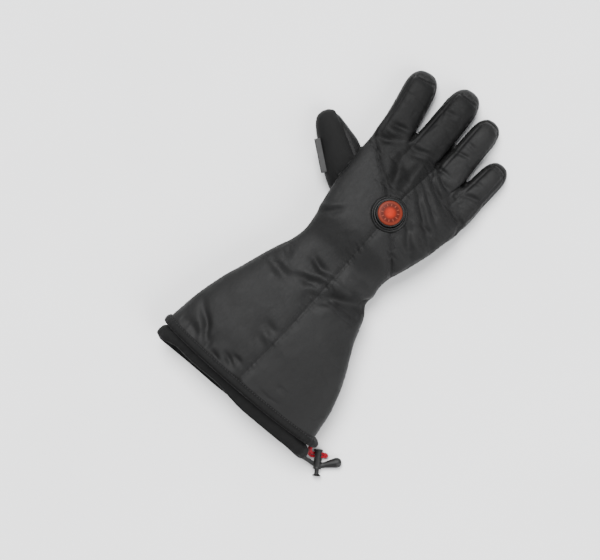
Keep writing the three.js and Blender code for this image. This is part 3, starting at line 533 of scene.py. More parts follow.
def under_button(points):
    """Lays the cloth under the button below the floor of its flange, clear of the pressed cap."""
    matrix = button_frame()
    local = (points - matrix[:3, 3]) @ matrix[:3, :3]
    radius = np.hypot(local[:, 0], local[:, 1])
    over = np.maximum(0, local[:, 2] - FLANGE_FLOOR)
    over *= smooth(FLANGE_RADIUS, FLANGE_RADIUS - 1.2, radius)
    return points - over[:, None] * matrix[:3, 2]


def dips(distance, rows):
    return sum(depth * np.exp(-((distance / width) ** 2)) for depth, width in rows)


def pressed_in(points, seam, line, region, upward):
    """How far each point of the skin moves out, for seams, folds, tucks and uneven cloth."""
    along = points[:, 1] + 0.35 * points[:, 0]
    swing = 2.2 * lumps(points, 9, 3)
    puckers = np.sin(along * 2 * math.pi / PUCKER_PITCH + swing) * lumps(points, 6, 4)
    press = -dips(seam, SEAM_DIPS) - dips(line, LINE_DIPS)
    press += PUCKER_HEIGHT * np.exp(-seam / PUCKER_REACH) * puckers
    press += fold_heights(points) * upward
    noise = sum(height * lumps(points, size, seed) for height, size, seed in CLOTH_LUMPS)
    press += (0.3 + 0.7 * upward) * noise
    crease = np.exp(-((lumps(points * [0.7, 1.5, 1.0], 11, 8) / 0.1) ** 2))
    crease *= smooth(0, 0.5, lumps(points, 26, 9))
    press -= CREASE_DEPTH * crease * (0.2 + 0.8 * upward)
    inward = smooth(0, 5, seam) * upward
    # Tucks along the hem, and across the nylon of the back
    hem_tucks = np.maximum(0, lumps(points * [1.0, 0.3, 0.3], 5.5, 41) - 0.05)
    hem_tucks *= smooth(24, 3, points[:, 1] - HEM_Y)
    press -= HEM_TUCK * hem_tucks * inward * (region == PANELS.index("gauntlet_thumb_side"))
    cross_tucks = np.maximum(0, lumps(points * [0.45, 1.4, 0.4], 7, 43) - 0.15)
    nylon = np.isin(region, [PANELS.index(name) for name in ("back_ring_little", "back_little_side")])
    return press - CROSS_TUCK * cross_tucks * inward * nylon


def glove_skin():
    """The glove's outside with its seams and folds, and each point's panel and seam distances."""
    ys = np.arange(HEM_Y - 9, BODY[-1, 0] + 0.01, 2.0)
    parts = [skin_of(body_rings(ys))]
    parts += [skin_of(finger_rings(row)) for row in FINGERS.values()]
    parts.append(skin_of(thumb_rings()))
    points, quads = remeshed(*joined(parts), SKIN_VOXEL)
    points[:, 2] = np.maximum(points[:, 2], 0)
    points = smoothed(points, quads, 5)
    found = node_distances(points, PANELS, SEAM_REACH)
    region = found.argmin(axis=1)
    ordered = np.sort(found, axis=1)
    seam = ordered[:, 1] - ordered[:, 0]
    normal = normals_of(points, quads)
    if (normal[:, 2] * (points[:, 2] - 20)).sum() < 0:
        normal, quads = -normal, quads[:, ::-1]
    upward = smooth(0.05, 0.45, normal[:, 2])
    line = np.where(normal[:, 2] > 0.02, finger_side_lines(points), SEAM_REACH)
    points = points + normal * pressed_in(points, seam, line, region, upward)[:, None]
    points = under_button(smoothed(points, quads, 1, 0.35))
    points[:, 2] = np.maximum(points[:, 2], LIFTED)
    return points, quads, region, seam, line


def panel_pieces(cloths):
    """The skin cut into its sewn panels, each quad with the panel that most of its corners lie on."""
    points, quads, region, seam, line = glove_skin()
    quads = quads[np.all(points[quads][:, :, 1] > HEM_Y - 1.5, axis=1)]
    owner = np.array([np.bincount(votes, minlength=len(PANELS)).argmax() for votes in region[quads]])
    for number, name in enumerate(PANELS):
        own = quads[owner == number]
        used, index = np.unique(own, return_inverse=True)
        own = index.reshape(own.shape)
        values = {"seam": seam[used], "line": line[used]}
        piece = mesh_object(name + "_cloth", points[used], own, cloths[PANEL_CLOTHS[name]], values)
        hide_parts(name)
        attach(piece, "glove")


def ring_frames(rings):
    """Outward directions of one ring's points in the XZ plane, by central differences."""
    ahead = np.roll(rings, -1, axis=0) - np.roll(rings, 1, axis=0)
    out = np.stack([ahead[:, 2], np.zeros(len(rings)), -ahead[:, 0]], axis=1)
    out /= np.maximum(np.linalg.norm(out, axis=1, keepdims=True), 1e-9)
    middle = rings.mean(axis=0)
    return out * np.sign(((rings - middle) * out).sum(axis=1))[:, None]


def evenly(line, count, endpoint=True):
    """Evenly spaced points along a line, how far along it each lies, and the line's length."""
    reach = np.concatenate([[0], np.cumsum(np.linalg.norm(np.diff(line, axis=0), axis=1))])
    at = np.linspace(0, reach[-1], count, endpoint=endpoint)
    return np.stack([np.interp(at, reach, line[:, a]) for a in range(3)], axis=1), at, reach[-1]


def even_ring(y, inset, count, **shape):
    """Evenly spaced points around the body's outline at one place."""
    dense = body_rings(np.array([y]), inset, 1200, **shape)[0]
    return evenly(np.vstack([dense, dense[:1]]), count, endpoint=False)


def hem_binding(material):
    """The padded binding: a rounded section swept round the hem, its groove under the stitches."""
    count, sides = 460, 28
    ring, at, total = even_ring(HEM_Y, 0, count)
    out = ring_frames(ring)
    centre, half = middle_at(HEM_Y)
    across = (ring[:, 0] - centre) / half
    ear = HEM_EAR * np.clip(across, 0, 1) ** 8
    bow = 2.2 * (1 - across**2) * smooth(10, 40, ring[:, 2])
    pucker = np.sin(at / total * 2 * math.pi * HEM_PUCKERS) * 0.16 + 0.3 * lumps(ring, 13, 11)
    rings = []
    for turn in full_turn(sides):
        back = TAPE_MIDDLE + TAPE_HALF * signed_power(math.cos(turn), 0.72)
        rise = signed_power(math.sin(turn), 0.8)
        upper = max(0.0, rise)
        thick = np.where(rise > 0, HEM_PAD + 0.7 + ear * 0.85, 2.6)
        groove = 0.9 * math.exp(-((back - TAPE_GROOVE) / 0.8) ** 2) * upper
        lift = rise * thick - 0.55 + pucker * upper - groove
        spot = ring + out * lift[:, None]
        spot[:, 1] = HEM_Y + 0.6 - back - bow
        rings.append(spot)
    rings = np.stack(rings)
    rings[:, :, 2] = np.maximum(rings[:, :, 2], LIFTED)
    points, faces = skin_of(rings, closed=False, wrap=True)
    from_groove = np.abs(TAPE_MIDDLE + TAPE_HALF * np.cos(full_turn(sides)) - TAPE_GROOVE)
    values = {"seam": np.repeat(from_groove, count), "turn": np.tile(at, sides)}
    piece = mesh_object("hem_binding_tape", points, faces, material, values)
    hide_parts("hem_binding")
    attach(piece, "glove")


# Rows of the liner past the shell's edge: back, sag, flare
LINER_ROWS = [
    (-5.0, 0.0, 0.0),
    (-0.1, 0.0, 0.0),
    (0.18, 0.15, 0.0),
    (0.37, 0.7, 0.0),
    (0.53, 0.95, 0.8),
    (0.77, 1.1, 1.0),
    (1.0, 1.4, 0.85),
]


def liner_rings(ys, inset, count):
    """Rings of the liner's sleeve at some places, set in by its clearance and an inset."""
    rows = np.array(LINER_ROWS)
    back = (HEM_Y - ys) / LINER_OUT
    sag = np.interp(back, rows[:, 0], rows[:, 1]) * LINER_SAG
    flare = np.interp(back, rows[:, 0], rows[:, 2]) * LINER_FLARE
    come = SHELL_WALL + LINER_GAP + inset
    centre, half = middle_at(HEM_Y)
    rings = []
    for y, s, f in zip(ys, sag, flare):
        ring, at, total = even_ring(max(y, HEM_Y), come, count, flare=f, sag=s)
        ring[:, 0] += f * LINER_SHIFT / LINER_FLARE
        ring[:, 1] = y
        past = smooth(HEM_Y, HEM_Y - LINER_OUT, y)
        turn = at / total * 2 * math.pi
        wave = np.sin(turn * LINER_RIBS + 1.7 * np.sin(turn * 5))
        ruffle = 0.34 * past * wave + 0.7 * past * lumps(ring, 16, 21)
        ring += ring_frames(ring) * ruffle[:, None]
        bow = 0.6 * (1 - ((ring[:, 0] - centre) / half) ** 2) * smooth(10, 36, ring[:, 2])
        # The mouth's lower lip stands out, and so does the upper one on the thumb's side
        part = smooth(-86, -70, ring[:, 0]) * smooth(16, -24, ring[:, 0])
        upper = smooth(14, 26, ring[:, 2])
        lip = 3.4 * upper * part - 3.6 * (1 - upper)
        ring[:, 1] -= past * (bow - lip + 0.5 * lumps(ring, 24, 22))
        ring[:, 2] = np.maximum(ring[:, 2], come - 1.2 * past)
        rings.append(ring)
    return rings


def liner_cuff(material):
    """The liner's sleeve, from inside the gauntlet over its rounded mouth and back in."""
    count = 320
    mouth = HEM_Y - LINER_OUT
    inside = np.linspace(HEM_Y + LINER_REACH, HEM_Y + 6, 16)
    outer = np.concatenate([inside, np.linspace(HEM_Y, mouth + 1.2, 18)])
    rings = []
    for ys, inset in (
        (outer, 0),
        (np.array([mouth + 0.3]), 0.5),
        (np.array([mouth]), LINER_WALL / 2),
        (np.array([mouth + 0.3]), LINER_WALL - 0.5),
        (outer[::-1], LINER_WALL),
    ):
        rings += liner_rings(ys, inset, count)
    rings = np.stack(rings)
    points, faces = skin_of(rings, closed=False, wrap=True)
    edge = np.repeat(np.abs(rings[:, 0, 1] - mouth), count)
    turns = np.tile(np.linspace(0, 470, count, endpoint=False), len(rings))
    values = {"seam": edge, "turn": turns}
    piece = mesh_object("liner_cuff_knit", points, faces, material, values)
    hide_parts("liner_cuff")
    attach(piece, "glove")


def softened(name, voxel, rounds, material):
    """A moulded or cut piece: its CAD solid with facets and sharp edges rounded off."""
    mesh = bpy.data.objects[name].data
    whole = [tuple(p.vertices) for p in mesh.polygons]
    points, quads = remeshed(read_points(mesh), whole, voxel)
    piece = mesh_object(name + "_moulded", smoothed(points, quads, rounds), quads, material)
    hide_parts(name)
    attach(piece, "glove")


class Look:
    """A procedural material, with short calls for its nodes, its colour and its relief."""

    def __init__(self, name, roughness, gloss, sheen=0.0, sheen_roughness=0.5):
        self.material = bpy.data.materials.new(name)
        self.material.use_nodes = True
        self.tree = self.material.node_tree
        self.shader = self.tree.nodes["Principled BSDF"]
        self.feed(self.shader, {
            "Roughness": roughness,
            "Specular IOR Level": gloss,
            "Sheen Weight": sheen,
            "Sheen Roughness": sheen_roughness,
        })
        self.place = self.add("TexCoord", {}, "Object")
        self.tone = None
        self.normal = None

    def feed(self, node, inputs):
        for key, value in inputs.items():
            if isinstance(value, bpy.types.NodeSocket):
                self.tree.links.new(value, node.inputs[key])
            else:
                node.inputs[key].default_value = value

    def add(self, kind, inputs, output=0, **settings):
        """Adds a node with its inputs by name or number, and gives one of its outputs."""
        made = self.tree.nodes.new("ShaderNode" + kind)
        for key, value in settings.items():
            setattr(made, key, value)
        self.feed(made, inputs)
        return made.outputs[output]

    def math(self, operation, *values):
        return self.add("Math", dict(enumerate(values)), operation=operation)

    def times(self, a, b):
        return self.math("MULTIPLY", a, b)

    def scaled(self, value, by, offset):
        return self.math("MULTIPLY_ADD", value, by, offset)

    def rest(self, value):
        return self.math("SUBTRACT", 1.0, value)

    def blend(self, a, share, b):
        return self.scaled(a, share, self.times(b, 1 - share))

    def wave(self, value, rate, kind="SINE"):
        """A wave from 0 to 1 over a value, its rate in radians."""
        return self.scaled(self.math(kind, self.times(value, rate)), 0.5, 0.5)

    def attribute(self, name):
        return self.add("Attribute", {}, "Fac", attribute_name=name)

    def split(self, vector):
        return self.add("SeparateXYZ", {0: vector}).node.outputs

    def stretched(self, x, y, turn):
        spin = (0, 0, math.radians(turn))
        return self.add("Mapping", {"Vector": self.place, "Rotation": spin, "Scale": (x, y, 1)})

    def noise(self, scale, detail=3.0, rough=0.55, place=None):
        """Noise from 0 to 1, its scale in waves a metre."""
        inputs = {"Scale": scale, "Detail": detail, "Roughness": rough}
        return self.add("TexNoise", {"Vector": place or self.place, **inputs}, "Fac")

    def cells(self, scale, place=None):
        return self.add("TexVoronoi", {"Vector": place or self.place, "Scale": scale}, "Distance")

    def between(self, value, low, high, to_low=0.0, to_high=1.0):
        inputs = dict(enumerate((value, low, high, to_low, to_high)))
        return self.add("MapRange", inputs, interpolation_type="SMOOTHSTEP")

    def ramp(self, factor, *stops):
        colour = self.add("ValToRGB", {"Fac": factor}, "Color")
        elements = colour.node.color_ramp.elements
        while len(elements) < len(stops):
            elements.new(0.5)
        for element, (spot, shade) in zip(elements, stops):
            element.position = spot
            element.color = (*shade, 1)
        return colour

    def greys(self, factor, base, *stops):
        """Sets the colour to greys round a base, by stops of a spot and a share of the base."""
        self.tone = self.ramp(factor, *((spot, grey(base * share)) for spot, share in stops))

    def mixed(self, factor, a, b):
        return self.add("Mix", {0: factor, 6: a, 7: (*b, 1)}, 2, data_type="RGBA")

    def over(self, factor, shade):
        """Lays a shade over the colour so far."""
        self.tone = self.mixed(factor, self.tone, shade)

    def bump(self, height, depth):
        """Relief of a depth in millimetres over a height from 0 to 1, on the relief so far."""
        before = {"Normal": self.normal} if self.normal else {}
        inputs = {"Strength": 1.0, "Distance": depth * MM, "Height": height}
        self.normal = self.add("Bump", {**inputs, **before}, "Normal")

    def weave(self, thread):
        """Threads over and under each other, spaced in millimetres, on every side of a piece."""
        wobble = {
            0: self.add("TexNoise", {}, "Color"),
            1: (thread * 0.7 * MM,) * 3,
            2: self.place,
        }
        spots = self.split(self.add("VectorMath", wobble, operation="MULTIPLY_ADD"))
        facing = self.split(self.add("TexCoord", {}, "Normal"))
        waves = [self.math("SINE", self.times(axis, math.pi / (thread * MM))) for axis in spots]
        total = 0.5
        for up, a, b in ((2, 0, 1), (0, 1, 2), (1, 0, 2)):
            side = self.math("POWER", self.math("ABSOLUTE", facing[up]), 2.0)
            total = self.scaled(self.times(self.times(waves[a], waves[b]), side), 0.5, total)
        return total

    def stitches(self, distance=2.5, width=0.34, pitch=2.6):
        """Topstitching at a distance from a seam: 1 on a stitch, and 1 along its whole row."""
        off = self.math("ABSOLUTE", self.math("SUBTRACT", self.attribute("seam"), distance))
        row = self.between(off, width * 0.5, width * 1.5, 1.0, 0.0)
        x, y, _ = self.split(self.place)
        run = self.math("ADD", y, self.times(x, 0.62))
        dash = self.math("SINE", self.times(run, 2 * math.pi / (pitch * MM)))
        return self.times(row, self.between(dash, -0.55, -0.1)), row

    def trough(self, stitch, row, depth):
        """Sinks a row of stitches, but not the stitches themselves."""
        self.bump(self.rest(self.times(row, self.rest(stitch))), depth)

    def finish(self, **inputs):
        self.feed(self.shader, {"Base Color": self.tone, "Normal": self.normal, **inputs})
        return self.material


def grey(value, warm=0.0):
    return (value * (1 + warm), value, value * (1 - warm))


def shell_cloth(name, base, thread, gloss, weave_depth, crinkle, turn=0.0):
    """Coated woven shell cloth: threads, fine crinkles, dark seam lines, rows of stitches; painted
    shade beside the seams.
    """
    look = Look(name, 0.6, gloss, 0.02, 0.4)
    threads = look.weave(thread)
    fine = look.noise(420, 4, 0.6, look.stretched(1, 0.55, turn))
    creases = look.noise(95, 5, 0.62, look.stretched(1.5, 0.6, turn + 28))
    seam, line = look.attribute("seam"), look.attribute("line")
    stitch, row = look.stitches()
    look.greys(look.blend(fine, 0.4, look.noise(28, 3)), base, (0.3, 0.82), (0.5, 1), (0.7, 1.2))
    look.over(look.times(threads, 0.35), grey(base * 1.5))
    gap = look.math("MINIMUM", seam, look.math("ADD", line, 0.35))
    look.over(look.between(gap, 0.2, 0.8, 0.6, 0.0), grey(base * 0.25))
    # Painted shade: the cloth darkens over the shallow dips each side of the seams and seam lines.
    beside = look.math("MINIMUM", seam, line)
    look.over(look.between(beside, 0.5, 6.0, 0.22, 0.0), grey(base * 0.5))
    look.over(look.times(stitch, 0.6), grey(base * 1.7))
    look.bump(creases, crinkle)
    look.bump(fine, 0.09)
    look.trough(stitch, row, 0.2)
    look.bump(threads, weave_depth)
    return look.finish(Roughness=look.scaled(fine, 0.22, 0.46))


def leather(name, base):
    """Soft grained leather, worn a little paler on its high grain and dark along its seams."""
    look = Look(name, 0.5, 0.15, 0.01)
    pebbles = look.cells(900)
    small = look.cells(2070, look.stretched(1, 0.9, 17))
    creases = look.noise(150, 6, 0.68, look.stretched(1.6, 0.5, -20))
    worn = look.noise(70, 5, 0.6)
    stitch, row = look.stitches(2.2, 0.32, 2.4)
    patches = look.blend(pebbles, 0.35, look.noise(40, 4))
    look.greys(patches, base, (0.28, 1.25), (0.5, 1), (0.75, 0.6))
    look.over(look.between(worn, 0.55, 0.75, 0, 0.35), grey(base * 1.6, 0.02))
    look.over(look.between(look.attribute("seam"), 0.25, 1.1, 0.8, 0.0), grey(base * 0.2))
    look.over(look.times(stitch, 0.7), grey(base * 1.9))
    look.bump(creases, 0.35)
    look.bump(look.rest(pebbles), 0.16)
    look.bump(look.rest(small), 0.06)
    look.trough(stitch, row, 0.25)
    return look.finish(Roughness=look.scaled(worn, -0.2, 0.62))


def knit(name, base, loop, shine, depth, fuzz):
    """Matt knitted or brushed cloth: small loops in rows under a soft pile."""
    look = Look(name, 0.86, shine, 0.015, 0.6)
    loops = look.weave(loop)
    pile = look.noise(1600, 3, 0.7)
    patches = look.blend(pile, 0.4, look.noise(30, 3))
    look.greys(patches, base, (0.32, 0.7), (0.5, 1), (0.68, 1.45))
    look.over(look.times(loops, 0.3), grey(base * 1.8))
    look.over(look.between(look.attribute("seam"), 0.2, 1.0, 0.5, 0.0), grey(base * 0.3))
    look.bump(look.noise(260, 5, 0.65), fuzz)
    look.bump(loops, depth)
    look.bump(pile, 0.08)
    return look.finish(Roughness=look.scaled(pile, 0.15, 0.6))


def tape(name, base):
    """Ribbed woven binding, with a row of stitches sunk beside the shell, and painted shade over its
    outer half.
    """
    look = Look(name, 0.7, 0.13, 0.01, 0.5)
    turn, seam = look.attribute("turn"), look.attribute("seam")
    ribs = look.wave(turn, 2 * math.pi / 1.15)
    fine = look.noise(700, 3)
    dash = look.between(look.wave(turn, 2 * math.pi / 2.7), 0.25, 0.6)
    stitch = look.times(look.between(seam, 0.2, 0.65, 1.0, 0.0), dash)
    look.greys(look.blend(look.noise(45, 4), 0.6, fine), base, (0.3, 0.7), (0.5, 1), (0.7, 1.3))
    look.over(look.times(ribs, 0.3), grey(base * 1.7))
    # Painted shade: the binding's outer half, away from the shell and rolling down towards the liner,
    # is darker.
    look.over(look.between(seam, 3.0, 6.0, 0.0, 0.85), grey(base * 0.2))
    look.over(look.between(seam, 0.3, 1.1, 0.6, 0.0), grey(base * 0.3))
    look.over(look.times(stitch, 0.85), grey(base * 6.0))
    look.bump(ribs, 0.12)
    look.bump(look.weave(0.32), 0.06)
    look.bump(stitch, 0.25)
    return look.finish(Roughness=look.scaled(fine, 0.2, 0.6))


def moulded(name, base, roughness, grain=0.06, scuff=0.3):
    """Moulded plastic or rubber: fine spark texture, faint flow marks and light scuffs."""
    look = Look(name, roughness, 0.3)
    spark = look.noise(2600, 2, 0.6)
    marks = look.noise(500, 5, 0.7, look.stretched(0.25, 1, 35))
    patches = look.blend(look.noise(90, 4), 0.7, spark)
    look.greys(patches, base, (0.3, 0.75), (0.52, 1), (0.72, 1.3))
    look.over(look.between(marks, 0.58, 0.72, 0.0, scuff), grey(base * 2.0 + 0.01))
    look.bump(spark, grain)
    look.bump(marks, 0.04)
    return look.finish(Roughness=look.scaled(marks, 0.25, roughness - 0.1))


def lit_lens(name):
    """Translucent orange lens lit from inside: bright middle, dim ring with ticks, paler edge."""
    look = Look(name, 0.4, 0.06)
    radius, turn = look.attribute("radius"), look.attribute("turn")
    grain = look.noise(1500, 3)
    band = look.times(look.between(radius, 0.52, 0.58), look.between(radius, 0.76, 0.7))
    tick = look.times(band, look.between(look.wave(turn, 12.0, "COSINE"), 0.78, 0.96))
    look.tone = look.ramp(
        radius,
        (0.0, (0.1, 0.008, 0.003)),
        (0.34, (0.08, 0.007, 0.003)),
        (0.5, (0.03, 0.005, 0.004)),
        (0.7, (0.03, 0.005, 0.004)),
        (0.82, (0.06, 0.011, 0.007)),
        (0.94, (0.06, 0.012, 0.007)),
        (1.0, (0.04, 0.012, 0.008)),
    )
    look.over(look.times(tick, 0.6), (0.1, 0.03, 0.02))
    look.over(look.times(grain, 0.2), (0.05, 0.008, 0.004))
    glow = look.ramp(
        radius,
        (0.0, (1.0, 0.035, 0.0)),
        (0.26, (0.78, 0.026, 0.0)),
        (0.46, (0.26, 0.018, 0.003)),
        (0.6, (0.1, 0.012, 0.005)),
        (0.74, (0.13, 0.016, 0.007)),
        (0.86, (0.27, 0.034, 0.014)),
        (1.0, (0.07, 0.01, 0.004)),
    )
    glow = look.mixed(look.times(tick, 0.7), glow, (0.42, 0.1, 0.055))
    patch = look.between(look.noise(260, 3), 0.35, 0.75, 0.0, 0.25)
    glow = look.mixed(patch, glow, (0.12, 0.015, 0.005))
    look.feed(look.shader, {"Emission Color": glow, "Emission Strength": 0.8})
    look.bump(grain, 0.03)
    look.bump(tick, 0.15)
    return look.finish(Roughness=look.scaled(grain, 0.15, 0.32))


def braid(name):
    """Round elastic cord: red strands crossing on the bias, with small dark gaps between them."""
    look = Look(name, 0.62, 0.2, 0.03, 0.4)
    turn, run = look.attribute("turn"), look.attribute("run")
    left, right = (
        look.math("SINE", look.math(way, look.times(run, 4.6), look.times(turn, 4.0)))
        for way in ("ADD", "SUBTRACT")
    )
    strand = look.scaled(look.math("MAXIMUM", left, right), 0.5, 0.5)
    fibre = look.noise(3200, 3, 0.7)
    look.tone = look.ramp(
        look.blend(fibre, 0.4, look.noise(160, 3)),
        (0.3, (0.2, 0.0012, 0.008)),
        (0.5, (0.31, 0.002, 0.013)),
        (0.7, (0.42, 0.008, 0.024)),
    )
    look.over(look.between(strand, 0.3, 0.62, 0.75, 0.0), (0.05, 0.001, 0.003))
    look.bump(strand, 0.25)
    look.bump(fibre, 0.05)
    return look.finish(Roughness=look.scaled(fibre, 0.2, 0.5))


# The lock hangs at the little-finger end of the hem. The points of its cord are counted from there.
HEM_CORNER = np.array([81.05, HEM_Y, 0.0])
UPPER_STRAND = [
    (2.3, -1.5, 17.2),
    (2.6, -5.2, 17.2),
    (3.3, -9.0, 16.6),
    (4.6, -11.3, 14.2),
    (6.2, -12.6, 10.7),
    (7.3, -13.0, 7.4),
    (8.0, -12.9, 5.2),
    (8.94, -12.41, 4.4),
    (12.36, -9.98, 4.4),
    (15.78, -7.55, 4.4),
    (18.2, -6.9, 4.4),
]
LOWER_STRAND = [
    (0.8, -1.5, 13.4),
    (1.0, -5.2, 13.4),
    (2.0, -9.6, 12.7),
    (3.4, -12.5, 10.4),
    (5.0, -14.8, 7.3),
    (7.0, -16.0, 5.2),
    (9.0, -15.8, 4.5),
    (10.62, -14.77, 4.4),
    (14.04, -12.34, 4.4),
    (17.46, -9.91, 4.4),
    (18.7, -7.9, 4.4),
]
KNOT = (18.6, -7.3, 4.4)
CORD_DIAMETER, KNOT_STRAND = 2.6, 1.25
# The lock's axis starts at its head. The plunger's bore starts past the slot for both strands.
LOCK_HEAD, LOCK_HEADING = (10.1, -6.8, 4.4), -54.6
HEAD_HEIGHT, CORD_SPACING, PLUNGER_TRAVEL, SLIDE_GAP = 1.9, 2.9, 2.4, 0.3
FIRST_STRAND = HEAD_HEIGHT + CORD_DIAMETER / 2 + 0.7
LOCK_BORE = FIRST_STRAND + CORD_SPACING + CORD_DIAMETER / 2 + SLIDE_GAP + 0.8


def along_path(points, count):
    """Evenly spaced points on a smooth curve through some points, and how far along each lies."""
    points = np.asarray(points, float)
    step = np.sqrt(np.linalg.norm(np.diff(points, axis=0), axis=1))
    knots = np.concatenate([[0], np.cumsum(step)])
    fine = np.linspace(0, knots[-1], 600)
    return evenly(np.stack([spline(knots, points[:, a], fine) for a in range(3)], axis=1), count)[:2]


def tube_rings(path, radius, sides):
    """Rings of a tube round a path, without twist between them. The radius may change along it."""
    way = np.gradient(path, axis=0)
    way /= np.linalg.norm(way, axis=1, keepdims=True)
    side = np.cross(way[0], [0.1, 0.2, 1.0])
    rings = []
    radius = np.broadcast_to(radius, len(path))
    for spot, ahead, r in zip(path, way, radius):
        side = side - ahead * side.dot(ahead)
        side /= np.linalg.norm(side)
        third = np.cross(ahead, side)
        turn = full_turn(sides)[:, None]
        rings.append(spot + r * (np.cos(turn) * side + np.sin(turn) * third))
    return np.stack(rings)


def knot_skin(spot):
    """The knot: three loops about each other, with the frayed ends of the cord standing out."""
    parts = []
    steps = full_turn(32)
    for lean, turn, size in ((0.0, 0.2, 1.9), (1.1, 1.9, 1.75), (2.3, 3.4, 1.75)):
        flat = [np.cos(steps) * size * 0.72, np.sin(steps) * size * 0.72, 0.35 * np.sin(2 * steps)]
        tilt = np.array(Matrix.Rotation(turn, 3, "Z") @ Matrix.Rotation(lean, 3, "X"))
        loop = np.stack(flat, axis=1) @ tilt.T + spot
        rings = tube_rings(np.vstack([loop, loop[:1], loop[1:2]]), KNOT_STRAND, 18)[:-2]
        parts.append(skin_of(rings, closed=False, wrap=True))
    rng = np.random.default_rng(9)
    for _ in range(9):
        out = rng.normal(size=3) * [1, 1, 0.5] + [0.9, 0.3, 0]
        out /= np.linalg.norm(out)
        stray = rng.normal(size=3) * 0.25
        tail, _ = along_path([spot + out * 1.2, spot + out * 2.3, spot + out * 3.1 + stray], 8)
        parts.append(skin_of(tube_rings(tail, np.linspace(0.5, 0.28, 8), 8)))
    return joined(parts)


def drawcord(material):
    """Both strands of the elastic cord, from the hem to the knot behind the lock."""
    sides = 24
    for name, strand in (("upper", UPPER_STRAND), ("lower", LOWER_STRAND)):
        path, at = along_path(np.array(strand) + HEM_CORNER, 90)
        points, faces = skin_of(tube_rings(path, CORD_DIAMETER / 2, sides))
        turns = np.concatenate([np.tile(full_turn(sides), len(path)), [0, 0]])
        runs = np.concatenate([np.repeat(at, sides), [at[0], at[-1]]])
        values = {"turn": turns, "run": runs}
        piece = mesh_object(f"drawcord_{name}_strand", points, faces, material, values)
        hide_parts("drawcord")
        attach(piece, "glove")
    spot = np.array(KNOT) + HEM_CORNER
    points, faces = knot_skin(spot)
    reach = points - spot
    values = {"turn": np.arctan2(reach[:, 1], reach[:, 0]), "run": reach[:, 2] + reach[:, 0]}
    knot = mesh_object("drawcord_knot", points, faces, material, values)
    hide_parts("drawcord")
    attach(knot, "glove")


def turned(profile, sides, matrix, bevel, steps=4):
    """A lathe about +Z of a frame, its profile's corners rounded by a bevel in millimetres."""
    profile = [np.array(p, float) for p in profile]
    line = [profile[0]]
    for before, corner, after in zip(profile, profile[1:], profile[2:]):
        a, b = before - corner, after - corner
        reach = min(bevel, np.linalg.norm(a) * 0.42, np.linalg.norm(b) * 0.42)
        start = corner + a / np.linalg.norm(a) * reach
        end = corner + b / np.linalg.norm(b) * reach
        for k in range(steps + 1):
            t = k / steps
            line.append((1 - t) ** 2 * start + 2 * t * (1 - t) * corner + t**2 * end)
    line.append(profile[-1])
    line = np.array(line)
    turn = full_turn(sides)
    r, z = line[:, 0][:, None], line[:, 1][:, None]
    level = np.broadcast_to(z, (len(line), sides))
    rings = np.stack([r * np.cos(turn), r * np.sin(turn), level], axis=2)
    points, faces = skin_of(rings[1:-1])
    points[-2], points[-1] = rings[0].mean(axis=0), rings[-1].mean(axis=0)
    radius = np.linalg.norm(points[:, :2], axis=1)
    angle = np.arctan2(points[:, 1], points[:, 0])
    return points @ matrix[:3, :3].T + matrix[:3, 3], faces, radius, angle


def power_button(flange_look, cap_look, lens_look):
    """The flange, cap and lens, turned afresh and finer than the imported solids, in the same place."""
    matrix = button_frame()
    rim = [(FLANGE_RADIUS, 1.9), (16.1, 2.9), (15.3, 3.35), (14.9, 2.75), (14.5, 3.6), (13.9, 4.4)]
    flange = [(0, 0), (FLANGE_RADIUS, 0), *rim, (12.95, 4.4), (12.95, 1.3), (0, 1.3)]
    cap = [(0, 2.65), (12.6, 2.65), (12.6, 8.5), (12.2, 9.2), (11.75, 9.2), (11.75, 8.2), (0, 8.2)]
    dome = [(LENS_RADIUS, 9.4), (10.3, 9.94), (8.3, 10.15), (6.3, 10.28), (3, 10.38), (0, 10.42)]
    lens = [(0, 8.5), (LENS_RADIUS, 8.5), *dome]
    for name, profile, look, body, bevel in (
        ("button_flange", flange, flange_look, "glove", 0.3),
        ("button_cap", cap, cap_look, "button", 0.25),
        ("button_lens", lens, lens_look, "button", 0.5),
    ):
        points, faces, radius, angle = turned(profile, 96, matrix, bevel)
        values = {"radius": radius / LENS_RADIUS, "turn": angle}
        piece = mesh_object(name + "_moulded", points, faces, look, values)
        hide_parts(name)
        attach(piece, body)


def lock_plunger(material):
    """The lock's sprung plunger, standing out of the barrel's bore along the barrel's axis."""
    heading = math.radians(LOCK_HEADING)
    away = (math.cos(heading), math.sin(heading), 0)
    cross = (-math.sin(heading), math.cos(heading), 0)
    matrix = frame_of(HEM_CORNER + LOCK_HEAD, cross, (0, 0, 1), away)
    start = LOCK_BORE + PLUNGER_TRAVEL + SLIDE_GAP
    stem = [(0, 0), (2.1, 0), (2.1, 10.8), (2.5, 11.5)]
    foot = [(4.1, 12.5), (4.1, 13.0), (2.2, 13.0), (2.0, 12.6), (0, 12.6)]
    profile = [(radius, start + along) for radius, along in stem + foot]
    points, faces, _, _ = turned(profile, 64, matrix, 0.3)
    piece = mesh_object("lock_plunger_moulded", points, faces, material)
    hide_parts("lock_plunger")
    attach(piece, "plunger")


# In metres
CAMERA_DISTANCE, FLOOR_REACH = 1.303, 3.0


def camera():
    """The photograph's view: from above, with the fingers up and to the right."""
    target = Vector((-23.7, -89.8, 40.0)) * MM
    back = Vector((0.035, 0.03, 1.0)).normalized()
    up = Vector((-0.65, 0.76, 0.0))
    up = (up - back * up.dot(back)).normalized()
    data = bpy.data.cameras.new("photo_camera")
    data.lens, data.sensor_width, data.sensor_fit = 85.8, 36, "HORIZONTAL"
    made = bpy.data.objects.new("photo_camera", data)
    bpy.context.collection.objects.link(made)
    spot = target + back * CAMERA_DISTANCE
    made.matrix_world = Matrix(frame_of(spot, up.cross(back), up, back).tolist())
    bpy.context.scene.camera = made


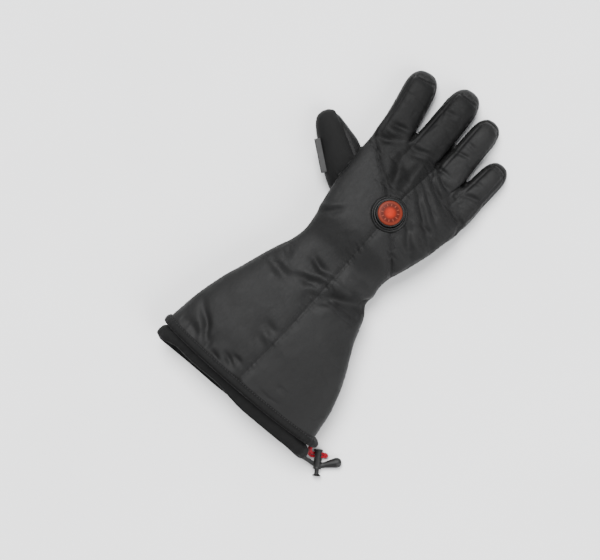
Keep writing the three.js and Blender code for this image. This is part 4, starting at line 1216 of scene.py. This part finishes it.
def studio():
    """A pale floor under a soft sky and two wide suns."""
    look = Look("pale_floor", 0.9, 0.1)
    look.tone = look.ramp(look.noise(6, 2), (0.3, grey(0.89)), (0.7, grey(0.92)))
    look.bump(look.noise(900, 2), 0.02)
    n, reach = 24, FLOOR_REACH / MM
    line = np.linspace(-reach, reach, n)
    points = np.array([(x, y, -0.02) for y in line for x in line])
    starts = [j * n + i for j in range(n - 1) for i in range(n - 1)]
    faces = [(k, k + 1, k + n + 1, k + n) for k in starts]
    mesh_object("pale_floor", points, faces, look.finish())
    world = bpy.data.worlds.new("studio")
    world.use_nodes = True
    sky = world.node_tree.nodes["Background"].inputs
    sky["Color"].default_value = (0.95, 0.97, 1.0, 1)
    sky["Strength"].default_value = 0.62
    bpy.context.scene.world = world
    for name, way, spread, strength in (
        ("key_light", (-0.45, 0.35, 1.0), 0.6, 6.2),
        ("fill_light", (1.1, 0.0, 0.9), 0.8, 2.5),
    ):
        light = bpy.data.lights.new(name, "SUN")
        light.angle, light.energy = spread, strength
        lamp = bpy.data.objects.new(name, light)
        lamp.rotation_euler = Vector(way).to_track_quat("Z", "Y").to_euler()
        bpy.context.collection.objects.link(lamp)


def main():
    camera()
    drawcord(braid("elastic_cord"))
    panel_pieces({
        "nylon": shell_cloth("nylon_shell", 0.0062, 0.5, 0.165, 0.07, 0.6),
        "softshell": shell_cloth("softshell", 0.0056, 0.36, 0.19, 0.05, 0.35, 40),
        "finger_shell": shell_cloth("finger_softshell", 0.0036, 0.36, 0.13, 0.05, 0.35, 40),
        "leather": leather("goat_leather", 0.0065),
        "stretch": knit("stretch_fabric", 0.0045, 0.7, 0.1, 0.12, 0.12),
    })
    hem_binding(tape("binding", 0.0048))
    liner_cuff(knit("liner_knit", 0.0018, 0.8, 0.15, 0.14, 0.25))
    black = moulded("lock_plastic", 0.007, 0.42)
    rubber = moulded("button_rubber", 0.003, 0.5)
    power_button(rubber, rubber, lit_lens("lit_lens"))
    softened("visor_wiper", 0.22, 5, moulded("wiper_rubber", 0.026, 0.6, 0.08, 0.2))
    softened("cord_lock", 0.2, 6, black)
    lock_plunger(black)
    softened("lock_tether", 0.25, 3, tape("tether_webbing", 0.006))
    studio()


main()
